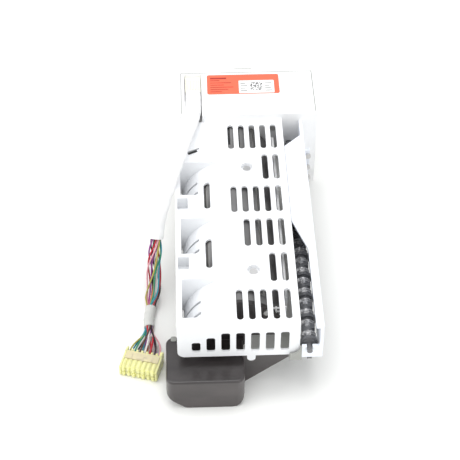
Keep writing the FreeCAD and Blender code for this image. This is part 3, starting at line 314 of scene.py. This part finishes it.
METALS = {
    # a light half-metal finish for the dark lever's ribs: painted highlights of its gloss
    "lever_painted_highlight": dict(colour=(0.75, 0.74, 0.74), rough=0.24, stretch=(0.3, 0.3, 0.3), bump=0.5,
                        vary=0.65, metallic=0.55),
    # the fins' near-white, non-metallic colour is a painted highlight, lighter than bare aluminium,
    # since little light reaches them
    "fin_metal": dict(colour=(0.98, 0.98, 0.98), stretch=(1, 0.05, 1), vary=0.12, metallic=0.0),
    "heater_steel": dict(colour=(0.5, 0.49, 0.47), rough=0.38),
    "screw_steel": dict(colour=(0.78, 0.77, 0.76), rough=0.3, stretch=(1, 1, 1)),
    "motor_can": dict(colour=(0.55, 0.55, 0.55), rough=0.32),
    "spring_steel": dict(colour=(0.6, 0.6, 0.6), rough=0.25, stretch=(1, 1, 1)),
    "contact_brass": dict(colour=(0.75, 0.55, 0.22), rough=0.3),
}
FINISH = {name: plastic(name, **look) for name, look in PLASTICS.items()}
FINISH.update({name: metal(name, **look) for name, look in METALS.items()})
FINISH["cup_dark"] = cup_plastic("cup_dark")
FINISH["sleeve_white"] = weave("sleeve_white", (0.9, 0.9, 0.9))
FINISH["tape_grey"] = weave("tape_grey", (0.58, 0.585, 0.56), 900)
FINISH["connector_yellow"] = clear_nylon("connector_yellow", (0.98, 0.96, 0.42))
FINISH["connector_pale"] = clear_nylon("connector_pale", (0.8, 0.7, 0.42))
WIRES = {
    "purple": (0.32, 0.06, 0.3), "red": (0.5, 0.015, 0.03), "black": (0.015, 0.015, 0.018),
    "green": (0.02, 0.26, 0.13), "cyan": (0.03, 0.3, 0.4), "yellow": (0.42, 0.38, 0.08),
    "pink": (0.75, 0.35, 0.4), "brown": (0.1, 0.035, 0.02), "white": (0.75, 0.74, 0.72),
    "orange": (0.65, 0.16, 0.03),
}
WIRE_FINISH = {key: plastic("wire_" + key, colour, rough=0.35, vary=0.15, grain=1800, bump=0.2)
               for key, colour in WIRES.items()}

floor_finish, floor_nodes, floor_links, floor_shader = new_material("floor")
floor_cloud = noise(floor_nodes, floor_links, 3.0)
floor_tint = ramp(floor_nodes, floor_links, floor_cloud.outputs["Fac"], FLOOR_DARK, FLOOR_LIGHT)
floor_links.new(floor_tint, floor_shader.inputs["Base Color"])
floor_shader.inputs["Roughness"].default_value = 0.6
floor_mesh = bpy.data.meshes.new("floor")
floor_corners = [(x * FLOOR_REACH, y * FLOOR_REACH, 0) for x, y in ((-1, -1), (1, -1), (1, 1), (-1, 1))]
floor_mesh.from_pydata(floor_corners, [], [(0, 1, 2, 3)])
floor = bpy.data.objects.new("floor", floor_mesh)
floor.data.materials.append(floor_finish)
scene.collection.objects.link(floor)
floor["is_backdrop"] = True

# ---------------------------------------------------------------- mesh helpers


def add_piece(name, mesh, materials, body, replaces=()):
    item = bpy.data.objects.new(name, mesh)
    scene.collection.objects.link(item)
    for material in materials:
        item.data.materials.append(material)
    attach(item, body)
    if replaces:
        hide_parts(*replaces)
    return item


def smooth(mesh, degrees=35):
    for polygon in mesh.polygons:
        polygon.use_smooth = True
    mesh.set_sharp_from_angle(angle=math.radians(degrees))


def side_frames(points):
    """Two steady side directions at each point of a line."""
    tangents = np.gradient(points, axis=0)
    tangents /= np.linalg.norm(tangents, axis=1)[:, None]
    side = np.cross(tangents[0], (0, 0, 1.0))
    if np.linalg.norm(side) < 0.1:
        side = np.array((1.0, 0, 0))
    sides = []
    for tangent in tangents:
        side = side - tangent * (side @ tangent)
        side = side / np.linalg.norm(side)
        sides.append(side)
    sides = np.array(sides)
    return sides, np.cross(tangents, sides)


def tube_into(vertices, faces, indices, line, radii, material, across=8, squash=None, caps=True):
    """Adds a tube along a line to the lists; squash gives half width and half height factors."""
    line = np.asarray(line, float)
    count = len(line)
    radii = np.broadcast_to(np.asarray(radii, float), (count,))
    sides, ups = side_frames(line)
    start = len(vertices)
    for index in range(count):
        for step in range(across):
            angle = 2 * math.pi * step / across
            wide, high = (1, 1) if squash is None else squash[index]
            offset = sides[index] * math.cos(angle) * wide + ups[index] * math.sin(angle) * high
            vertices.append(line[index] + offset * radii[index])
    for index in range(count - 1):
        for step in range(across):
            a = start + index * across + step
            b = start + index * across + (step + 1) % across
            faces.append((a, b, b + across, a + across))
            indices.append(material)
    if caps:
        faces.append(tuple(start + step for step in reversed(range(across))))
        faces.append(tuple(start + (count - 1) * across + step for step in range(across)))
        indices += [material, material]


def mesh_from(name, vertices, faces, indices, degrees=60, fix_normals=False):
    mesh = bpy.data.meshes.new(name)
    mesh.from_pydata([tuple(vertex) for vertex in vertices], [], faces)
    mesh.polygons.foreach_set("material_index", indices)
    mesh.update()
    if fix_normals:
        fixer = bmesh.new()
        fixer.from_mesh(mesh)
        bmesh.ops.recalc_face_normals(fixer, faces=fixer.faces)
        fixer.to_mesh(mesh)
        fixer.free()
    smooth(mesh, degrees)
    return mesh


def block_into(builder, low, high, bevel, tilt=None):
    """Adds a box with bevelled edges to a bmesh, in millimetres; tilt is a matrix."""
    made = bmesh.ops.create_cube(builder, size=1.0)["verts"]
    middle = (Vector(low) + Vector(high)) / 2
    size = Vector(high) - Vector(low)
    for vertex in made:
        vertex.co = middle + vertex.co * size
        if tilt:
            vertex.co = tilt @ vertex.co
    edges = list({edge for vertex in made for edge in vertex.link_edges})
    bmesh.ops.bevel(builder, geom=edges, offset=bevel, segments=2, affect="EDGES",
                    clamp_overlap=True)


def disc_into(builder, centre, turn, near_radius, far_radius, depth, segments):
    """Adds a low round boss to a bmesh, turned about X, in millimetres."""
    matrix = Matrix.Translation(centre) @ Matrix.Rotation(turn, 4, "X")
    bmesh.ops.create_cone(builder, cap_ends=True, segments=segments, radius1=near_radius,
                          radius2=far_radius, depth=depth, matrix=matrix)


def plate_into(builder, low, high, z, thick, radius, steps=6, material=0):
    """Adds a thin plate with round corners to a bmesh, in the drawing's millimetres."""
    left, right = low[0] + radius, high[0] - radius
    near, far = low[1] + radius, high[1] - radius
    corners = []
    for cx, cy, start in ((right, far, 0), (left, far, 90), (left, near, 180), (right, near, 270)):
        for step in range(steps + 1):
            angle = math.radians(start + 90 * step / steps)
            corners.append((cx + radius * math.cos(angle), cy + radius * math.sin(angle)))
    lower = [builder.verts.new((x, y, z)) for x, y in corners]
    upper = [builder.verts.new((x, y, z + thick)) for x, y in corners]
    made = [builder.faces.new(upper), builder.faces.new(list(reversed(lower)))]
    for index in range(len(corners)):
        after = (index + 1) % len(corners)
        made.append(builder.faces.new((lower[index], lower[after], upper[after], upper[index])))
    for face in made:
        face.material_index = material


def mesh_of(builder, name, put=lambda point: place(*point)):
    """The bmesh as a mesh in the row frame; put takes its millimetres there."""
    for vertex in builder.verts:
        vertex.co = put(vertex.co)
    bmesh.ops.recalc_face_normals(builder, faces=builder.faces)
    mesh = bpy.data.meshes.new(name)
    builder.to_mesh(mesh)
    builder.free()
    smooth(mesh)
    return mesh


# ---------------------------------------------------------------- harness

ROUTE = [place(*point) for point in (
    (18, 287, 4), (18, 265, 4), (15, 240, 9.5), (8, 211, 15), (2.5, 184, 16), (-6, 161, 6),
    (-15.5, 145, -19), (-19.2, 127, -44), (-20.7, 109, -62.5), (-22.7, 91, -73), (-26, 71, -73.2),
    (-24.6, 55, -73.1), (-25.17, 42.6, -72.2), (-27.87, 33.18, -72.2))]
STEPS = 260

route_curve = bpy.data.curves.new("route", "CURVE")
route_curve.dimensions = "3D"
route_curve.resolution_u = 16
spline = route_curve.splines.new("NURBS")
spline.points.add(len(ROUTE) - 1)
for control, point in zip(spline.points, ROUTE):
    control.co = (*point, 1)
spline.order_u = 3
spline.use_endpoint_u = True
route_object = bpy.data.objects.new("route", route_curve)
scene.collection.objects.link(route_object)
bpy.context.view_layer.update()
route_mesh = bpy.data.meshes.new_from_object(route_object)
sampled = np.array([vertex.co for vertex in route_mesh.vertices], float)
bpy.data.objects.remove(route_object)

lengths = np.concatenate(([0], np.cumsum(np.linalg.norm(np.diff(sampled, axis=0), axis=1))))
share = np.linspace(0, 1, STEPS)
run_length = share * lengths[-1]
centre = np.stack([np.interp(run_length, lengths, sampled[:, axis]) for axis in range(3)], axis=1)
sides, ups = side_frames(centre)


def share_at_y(y):
    """How far along the harness, from 0 to 1, its line crosses a Y in the drawing's millimetres."""
    target = (y - MID.y) * MM
    return float(np.interp(-target, -centre[:, 1], share))


SLEEVE_END = share_at_y(134)
TAPE_START = share_at_y(86)
TAPE_END = share_at_y(64)
TAPE_LAST = int(TAPE_END * STEPS)

# the bundle: wires on two rings that twist, loose between the sleeve and the tape; the flat
# sleeve presses them together, and some run on past the tape to the connector
ORDER = ("purple", "red", "pink", "yellow", "green", "cyan", "red", "black", "brown",
         "white", "black", "purple", "orange", "white")
INNER = 5
OUTER = len(ORDER) - INNER
INNER_RING, OUTER_RING = 2.0, 4.5
WIRE_RADIUS = 0.75 * MM
LOWEST = WIRE_RADIUS * 1.05
TURNS = 2.0
BUNDLE_START = math.radians(232)
BUNDLE_SEED = 7
RUNS_ON = 4
LOOSE = np.interp(
    share,
    [0, SLEEVE_END, SLEEVE_END + 0.05, (SLEEVE_END + TAPE_START) / 2, TAPE_START - 0.03,
     TAPE_START, TAPE_END, 1],
    [0.55, 0.98, 1.25, 1.32, 1.28, 0.72, 0.64, 0.8])
PRESSED = np.interp(share / SLEEVE_END, [0, 0.85, 1, 1.15], [0.5, 0.55, 0.85, 1])

wire_names = list(WIRE_FINISH)
strand_ends = []
vertices, faces, indices = [], [], []
dice = random.Random(BUNDLE_SEED)
for number, colour in enumerate(ORDER):
    ring, slots = (INNER_RING, INNER) if number >= OUTER else (OUTER_RING, OUTER)
    start_angle = BUNDLE_START - 2 * math.pi * (number / slots + dice.uniform(-0.03, 0.03))
    wobble = [dice.uniform(0, 2 * math.pi) for _ in range(4)]
    angles = start_angle + TURNS * 2 * math.pi * share
    angles += 0.35 * np.sin(9 * math.pi * share + wobble[0])
    angles += 0.2 * np.sin(31 * share + wobble[1])
    reach = ring + 0.3 * np.sin(14 * share + wobble[2]) + 0.25 * np.sin(37 * share + wobble[3])
    reach = reach * LOOSE * MM
    rise = np.sin(angles) * reach * PRESSED
    line = centre + sides * (np.cos(angles) * reach)[:, None] + ups * rise[:, None]
    line[:, 2] = np.maximum(line[:, 2], LOWEST)
    strand_ends.append((line[TAPE_LAST], line[TAPE_LAST] - line[TAPE_LAST - 3]))
    if number % RUNS_ON != 1:
        line = line[:TAPE_LAST + 1]
    tube_into(vertices, faces, indices, line, WIRE_RADIUS, wire_names.index(colour))
bundle_mesh = mesh_from("harness_bundle", vertices, faces, indices)
bundle = add_piece("harness_bundle", bundle_mesh, WIRE_FINISH.values(), "root", ["harness_wires"])

# sleeve: a soft flattened tube that narrows to its open end
SLEEVE_SIDES = 28
SLEEVE_WALL = 0.55
vertices, faces, indices = [], [], []
sleeve_line = centre[:int(SLEEVE_END * STEPS) + 1]
run = share[:len(sleeve_line)] / SLEEVE_END
half_wide = np.interp(run, [0, 0.1, 0.35, 0.6, 0.85, 0.95, 1], [7.2, 8.0, 8.0, 7.6, 7.0, 6.4, 6.5])
half_high = np.interp(run, [0, 0.1, 0.5, 0.85, 1], [4.6, 4.3, 4.5, 5.2, 6.0])
crease = 0.22 * np.sin(run * 70) * np.sin(run * 23 + 1) + 0.12 * np.sin(run * 140 + 2)
shape = np.stack([half_wide + crease, half_high - crease], axis=1)
tube_into(vertices, faces, indices, sleeve_line, MM, 0, SLEEVE_SIDES, shape, False)
inside_start = len(vertices)
tube_into(vertices, faces, indices, sleeve_line, MM, 0, SLEEVE_SIDES, shape - SLEEVE_WALL, False)
for ring_start in (0, inside_start - SLEEVE_SIDES):
    for step in range(SLEEVE_SIDES):
        a = ring_start + step
        b = ring_start + (step + 1) % SLEEVE_SIDES
        faces.append((a, b, b + inside_start, a + inside_start))
        indices.append(0)
sleeve_mesh = mesh_from("sleeve", vertices, faces, indices, fix_normals=True)
sleeve = add_piece("cable_sleeve", sleeve_mesh, [FINISH["sleeve_white"]], "root",
                   ["harness_sleeve"])

# tape: three turns, each wound a little tighter towards its end
TAPE_TURNS = 3
TAPE_WIDE, TAPE_NARROW = 4.75, 4.45
vertices, faces, indices = [], [], []
tape_first = int(TAPE_START * STEPS)
for turn in range(TAPE_TURNS):
    begin = tape_first + (TAPE_LAST - tape_first) * turn // TAPE_TURNS
    stop = tape_first + (TAPE_LAST - tape_first) * (turn + 1) // TAPE_TURNS + 1
    line = centre[begin:stop + 1]
    ripple = 0.12 * np.sin(np.arange(len(line)) * 0.9 + turn)
    thick = np.linspace(TAPE_WIDE, TAPE_NARROW, len(line)) + ripple
    flat = np.stack([thick, thick * 0.96], axis=1)
    tube_into(vertices, faces, indices, line, MM, 0, 24, flat)
tape_mesh = mesh_from("tape", vertices, faces, indices, 40)
tape = add_piece("cable_tape", tape_mesh, [FINISH["tape_grey"]], "root", ["harness_tape"])

# pigtails: the single wires from the tape to the connector's far face
CONNECTOR_TURN = math.radians(-16)
CONNECTOR = place(-31.2, 21.6, -78)
CONNECTOR_WIDE, CONNECTOR_LONG, CONNECTOR_HIGH = 33.0, 24.0, 12.0
WAYS = 7
WAY_PITCH = (CONNECTOR_WIDE - 3) / WAYS
WELL_COLOURS = ("yellow", "green", "brown", "white", "red", "black", "pink",
                "cyan", "black", "purple", "orange", "red", "purple", "white")
PIGTAIL_STEPS = 26
FIRST_PULL, LAST_PULL = 0.9, 1.1


def in_connector(point):
    """A place in the connector's own millimetres, put in the row frame."""
    turned = Matrix.Rotation(CONNECTOR_TURN, 3, "Z") @ Vector(point)
    return CONNECTOR + turned * MM


vertices, faces, indices = [], [], []
wells = [((index - 3) * WAY_PITCH, CONNECTOR_HIGH * (level + 0.5) / 2)
         for level in (1, 0) for index in range(WAYS)]
unused = list(range(len(ORDER)))
well_strands = []
for colour in WELL_COLOURS:
    number = next(item for item in unused if ORDER[item] == colour)
    unused.remove(number)
    well_strands.append(number)
outward = np.array(in_connector((0, 1, 0)) - in_connector((0, 0, 0))) / MM
t = np.linspace(0, 1, PIGTAIL_STEPS)[:, None]
for (x, z), number in zip(wells, well_strands):
    start_point, heading = strand_ends[number]
    end_point = np.array(in_connector((x, CONNECTOR_LONG / 2 - 2.5, z)))
    gap = np.linalg.norm(end_point - start_point)
    first_pull = heading / np.linalg.norm(heading) * gap * FIRST_PULL
    last_pull = -outward * gap * LAST_PULL
    bulge = dice.uniform(0.3, 2.2) * MM
    line = ((2 * t ** 3 - 3 * t ** 2 + 1) * start_point + (t ** 3 - 2 * t ** 2 + t) * first_pull
            + (3 * t ** 2 - 2 * t ** 3) * end_point + (t ** 3 - t ** 2) * last_pull)
    line[:, 2] += np.sin(math.pi * t[:, 0]) * bulge
    line[:, 2] = np.maximum(line[:, 2], LOWEST)
    tube_into(vertices, faces, indices, line, WIRE_RADIUS, wire_names.index(ORDER[number]))
pigtail_mesh = mesh_from("pigtails", vertices, faces, indices)
pigtails = add_piece("pigtails", pigtail_mesh, WIRE_FINISH.values(), "root")

# connector: a two-row nylon housing with ribbed ways and side keys
half = CONNECTOR_WIDE / 2
back = CONNECTOR_LONG / 2
top = CONNECTOR_HIGH
way_front = -back + 1.6
web_low, web_high = 5.5, 6.5
builder = bmesh.new()
block_into(builder, (-half + 1, -back + 2, web_low), (half - 1, back - 5, web_high), 0.2)
block_into(builder, (-half, -1.5, 0), (half, back - 4.5, 0.8), 0.25)
block_into(builder, (-half, back - 6, 0.2), (half, back - 5, top - 0.2), 0.25)
for side in (-1, 1):
    inner, outer = sorted((side * (half - 1.8), side * half))
    block_into(builder, (inner, -back + 0.4, 0.6), (outer, back - 0.6, top - 0.6), 0.4)
    block_into(builder, (inner - side * 1.2, back - 5, top - 3), (outer - side * 0.3, back, top), 0.35)
for index in range(WAYS):
    x = (index - 3) * WAY_PITCH
    thin = WAY_PITCH / 2 - 0.75
    near = -back + (0.5 if index % 2 else 0)
    for low, high in ((0.3, web_low + 0.2), (web_high - 0.2, top - 0.4)):
        block_into(builder, (x - thin, near, low), (x + thin, -1.2, high), 0.5)
    block_into(builder, (x - 0.35, way_front, top - 0.5), (x + 0.35, -2.4, top - 0.05), 0.12)
for index in range(WAYS + 1):
    x = (index - WAYS / 2) * WAY_PITCH
    block_into(builder, (x - 0.8, way_front, 0.7), (x + 0.8, back - 1.5, top - 1.5), 0.15)
connector_mesh = mesh_of(builder, "connector", in_connector)
connector = add_piece("nylon_connector", connector_mesh, [FINISH["connector_yellow"]], "root",
                      ["wire_connector"])

# the connector's pale plate, with low plain ridges
builder = bmesh.new()
block_into(builder, (-half + 1.9, -1.3, top - 1.2), (half - 1.9, back - 4.5, top - 0.3), 0.3)
for low, high in (((-4.4, -0.4), (1.6, 0.3)), ((0.9, -2.6), (1.6, 2.6)), ((0.9, 2.1), (4.6, 2.8))):
    block_into(builder, (*low, top - 0.5), (*high, top), 0.12)
for x in (-9, 9):
    block_into(builder, (x - 0.4, -1, top - 0.5), (x + 0.4, 4.5, top - 0.05), 0.12)
plate_mesh = mesh_of(builder, "connector_plate", in_connector)
plate = add_piece("connector_plate", plate_mesh, [FINISH["connector_pale"]], "root")

# ---------------------------------------------------------------- CAD nodes: finishes and softened edges

EDGES = {
    "vent_cover": 0.28, "gearbox_case": 0.5, "gearbox_front_cover": 0.4, "side_guard": 0.4,
    "end_bracket": 0.35, "stripper": 0.3, "harness_clip": 0.2, "ice_mold": 0.3, "mold_fins": 0.12,
    "gear_plate": 0.3, "harness_plug": 0.3, "harness_header": 0.3, "control_board": 0.15,
    "board_parts": 0.3, "limit_switches": 0.25, "button_switch": 0.25, "test_button": 0.3,
    "water_cup": 0.5, "level_lever": 0.35, "ejector_shaft": 0.4, "drive_motor": 0.4,
    "lever_cam": 0.2, "output_gear": 0.1, "idler_gear": 0.1, "motor_pinion": 0.1,
}
WELD_GAP = 0.002
FLAT_ANGLE = math.radians(0.6)
EDGE_ANGLE = math.radians(38)


def soften(item, width):
    """Rounds a CAD node's sharp edges, in millimetres, once its flat faces are joined up."""
    weld = item.modifiers.new("weld", "WELD")
    weld.merge_threshold = WELD_GAP * MM
    flat = item.modifiers.new("flat", "DECIMATE")
    flat.decimate_type = "DISSOLVE"
    flat.angle_limit = FLAT_ANGLE
    bevel = item.modifiers.new("bevel", "BEVEL")
    bevel.limit_method = "ANGLE"
    bevel.angle_limit = EDGE_ANGLE
    bevel.width = width * MM
    bevel.segments = 2
    bevel.use_clamp_overlap = True
    even = item.modifiers.new("even", "WEIGHTED_NORMAL")
    even.keep_sharp = True
    for polygon in item.data.polygons:
        polygon.use_smooth = True


slot_of = {part["node"]: part["material_slot"] for part in frame["record"]["subparts"]}
for name, item in frame["nodes"].items():
    item.data.materials.clear()
    item.data.materials.append(FINISH.get(slot_of[name], FINISH["cover_white"]))
    if name in EDGES:
        soften(item, EDGES[name])

# ---------------------------------------------------------------- label

WHITE, INK, RED_INK = 1, 2, 3
LABEL_FINISH = [FINISH[name] for name in ("label_orange", "label_white", "label_ink", "label_red_ink")]
LABEL_LOW, LABEL_HIGH, LABEL_TOP = (31.5, 280.3), (100.0, 309.3), 8.0
PANEL_LOW, PANEL_HIGH = (61.6, 281.3), (95.2, 300.2)
PANEL_TOP, PRINT_TOP = LABEL_TOP + 0.1, LABEL_TOP + 0.15
BAR_LEFT, BAR_FAR, BAR_STEP, BAR_THICK = 34.5, 303.5, 3.3, 0.09
BARS = ((15.5, 2.3), (9, 1.0), (20, 0.8), (13, 0.8), (22, 0.8), (17, 0.8), (11, 0.8))
CELL, CELLS, CELL_CHANCE, CELL_SEED = 0.95, 12, 0.46, 3
CODE_LEFT, CODE_NEAR = 72.6, 285.4

builder = bmesh.new()
plate_into(builder, LABEL_LOW, LABEL_HIGH, LABEL_TOP, 0.14, 2.2)
plate_into(builder, PANEL_LOW, PANEL_HIGH, PANEL_TOP, 0.08, 0.8, 3, WHITE)
for row, (wide, high) in enumerate(BARS):
    y = BAR_FAR - row * BAR_STEP - (0 if row else 0.6)
    bar_end = (BAR_LEFT + wide, y + high)
    plate_into(builder, (BAR_LEFT, y), bar_end, PANEL_TOP, BAR_THICK, 0.35, 2, RED_INK)
# a random pattern of squares that encodes nothing, between short plain marks
dice = random.Random(CELL_SEED)
for row in range(CELLS):
    for column in range(CELLS):
        if dice.random() < CELL_CHANCE:
            x, y = CODE_LEFT + column * CELL, CODE_NEAR + row * CELL
            cell_end = (x + CELL * 0.97, y + CELL * 0.97)
            plate_into(builder, (x, y), cell_end, PRINT_TOP, 0.08, 0.1, 1, INK)
for row in range(4):
    y = 284.6 + row * 3.6
    for left, right in ((63.2, 69.6 - row % 2 * 1.8), (86.6, 93.0 - row % 3)):
        plate_into(builder, (left, y), (right, y + 0.7), PRINT_TOP, 0.06, 0.25, 2, INK)
label_mesh = mesh_of(builder, "label")
add_piece("paper_label", label_mesh, LABEL_FINISH, "root", ["rating_label"])

# ---------------------------------------------------------------- lever ribbing

LEVER_X, LEVER_Z = 107.7, -28.0
RIB_COUNT, RIB_FIRST, RIB_STEP = 20, 3, 11.8
RIB_WIDE = (6.8, 5.6)
RIB_LEAN = (-12, 16)
DISC_AT = (5.2, 7.4)

on_axis = Matrix.Translation((LEVER_X, 0, LEVER_Z))
builder = bmesh.new()
for index in range(RIB_COUNT):
    y = RIB_FIRST + index * RIB_STEP
    wide, lean = RIB_WIDE[index % 2], math.radians(RIB_LEAN[index % 2])
    side_low, side_high = (1.6, y - 0.6, -4), (wide, y + 4.6, 3.4)
    knob_low, knob_high = (-5.2, y + 4.2, 1.6), (-2.4, y + 8.8, 4.8)
    block_into(builder, side_low, side_high, 0.6, on_axis)
    block_into(builder, knob_low, knob_high, 0.7, on_axis)
    on_top = Matrix.Translation((LEVER_X - 0.4, y + 4.4, LEVER_Z + 5.0)) @ Matrix.Rotation(lean, 4, "Y")
    block_into(builder, (-2.2, -3.6, -1.2), (2.2, 3.6, 1.2), 0.7, on_top)
    for offset in DISC_AT:
        disc_into(builder, (LEVER_X, y + offset, LEVER_Z), math.pi / 2, 6.3, 5.9, 0.9, 28)
ribbing_mesh = mesh_of(builder, "lever_ribbing")
# the ribs and knobs carry the light finish, as painted highlights on the lever's dark gloss
add_piece("lever_ribbing", ribbing_mesh, [FINISH["lever_painted_highlight"]], "level_lever")

# ---------------------------------------------------------------- small pieces on the fixed body

# a black block in the harness clip: painted shade for its dark slot
CLIP_PLACE = Vector((16.2, 206.6, 0))
clip_turn = Matrix.Rotation(math.radians(27), 3, "Z")
builder = bmesh.new()
block_into(builder, (-4.6, -1.3, 1.0), (4.6, 1.3, 1.7), 0.3)
slot_shade_mesh = mesh_of(builder, "clip_slot_shade", lambda point: place(*(clip_turn @ point + CLIP_PLACE)))
add_piece("clip_slot_shade", slot_shade_mesh, [FINISH["switch_black"]], "root")

# moulded relief on the gearbox's far wall: a frame, six ribs and four round bosses
BOX_LEFT, BOX_RIGHT, BOX_FAR, BOX_LOW, BOX_HIGH = 5.5, 133.0, 314.0, -78.0, 8.0
RELIEF_NEAR, RELIEF_FAR, RELIEF_WIDE = BOX_FAR - 0.2, BOX_FAR + 0.8, 1.6
FRAME_LEFT, FRAME_RIGHT = BOX_LEFT + 4, BOX_RIGHT - 4
FRAME_LOW, FRAME_HIGH = BOX_LOW + 5, BOX_HIGH - 5.4
builder = bmesh.new()
for z in (FRAME_LOW, FRAME_HIGH - RELIEF_WIDE):
    block_into(builder, (FRAME_LEFT, RELIEF_NEAR, z), (FRAME_RIGHT, RELIEF_FAR, z + RELIEF_WIDE), 0.3)
for x in (FRAME_LEFT, FRAME_RIGHT - RELIEF_WIDE):
    block_into(builder, (x, RELIEF_NEAR, FRAME_LOW), (x + RELIEF_WIDE, RELIEF_FAR, FRAME_HIGH), 0.3)
for index in range(6):
    x = BOX_LEFT + 18 + index * 11
    block_into(builder, (x, RELIEF_NEAR, -62), (x + 3, BOX_FAR + 0.6, -20), 0.3)
for x, z in ((104, -48), (120, -48), (104, -12), (120, -12)):
    disc_into(builder, (x, BOX_FAR + 0.2, z), -math.pi / 2, 2.6, 2.4, 0.6, 24)
relief_mesh = mesh_of(builder, "case_relief")
add_piece("case_relief", relief_mesh, [FINISH["case_white"]], "root")

# a small ribbed tab beside the cup
builder = bmesh.new()
plate_into(builder, (-5.8, 22.5), (-1.0, 27.5), -45.6, 0.9, 1.6)
for index in range(4):
    block_into(builder, (-5.2, 23.3 + index, -44.9), (-1.6, 23.8 + index, -44.4), 0.1)
tab_mesh = mesh_of(builder, "cup_tab")
add_piece("cup_tab", tab_mesh, [FINISH["bracket_grey"]], "root")

# thin grey strips that paint the shade in the seam round the gearbox's top, and along the far edge of
# its lug
SHADE_LINE_LOW, SHADE_LINE_HIGH = BOX_HIGH - 0.6, BOX_HIGH + 0.1
builder = bmesh.new()
for low, high in (
        ((BOX_LEFT + 1.0, 253.2), (BOX_LEFT + 1.6, BOX_FAR - 0.9)),
        ((BOX_RIGHT - 1.4, 253.2), (BOX_RIGHT - 0.8, BOX_FAR - 0.9)),
        ((BOX_LEFT + 1.0, BOX_FAR - 1.6), (BOX_RIGHT - 0.8, BOX_FAR - 0.8)),
        ((57.4, BOX_FAR + 4.0), (74.6, BOX_FAR + 4.9))):
    block_into(builder, (*low, SHADE_LINE_LOW), (*high, SHADE_LINE_HIGH), 0.08)
shade_line_mesh = mesh_of(builder, "case_seam_shade")
add_piece("case_seam_shade", shade_line_mesh, [FINISH["bracket_grey"]], "root")

# crossed ribs on the mould's near end, in the fins' near-white finish, which paints a highlight
builder = bmesh.new()
for index in range(5):
    z = -13.5 - index * 4.2
    block_into(builder, (64, 28.6, z - 1.4), (91, 29.9, z), 0.4)
for x in (66, 74, 82, 90):
    block_into(builder, (x - 0.7, 28.2, -33), (x + 0.7, 29.9, -12.5), 0.3)
end_mesh = mesh_of(builder, "mold_end_ribs")
add_piece("mold_end_ribs", end_mesh, [FINISH["fin_metal"]], "root")

# ---------------------------------------------------------------- springs

COIL_TURNS = 5


def coil_spring(name, node, wire):
    """A wire coil in the place of a CAD spring, with its end turns closed up."""
    low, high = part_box(node)
    middle = (low + high) / 2
    radius = (high.x - low.x) / 2 - wire
    t = np.linspace(0, 1, COIL_TURNS * 28)
    squeeze = np.clip(t * 1.16 - 0.08, 0, 1)
    angle = t * COIL_TURNS * 2 * math.pi
    line = np.stack([middle.x + radius * np.cos(angle),
                     low.y + wire + (high.y - low.y - 2 * wire) * squeeze,
                     middle.z + radius * np.sin(angle)], axis=1)
    vertices, faces, indices = [], [], []
    tube_into(vertices, faces, indices, line, wire, 0)
    mesh = mesh_from(name, vertices, faces, indices)
    add_piece(name, mesh, [FINISH["spring_steel"]], "root", [node])


coil_spring("lever_coil", "lever_spring", 0.0005)
coil_spring("button_coil", "test_button_spring", 0.00035)

low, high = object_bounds()
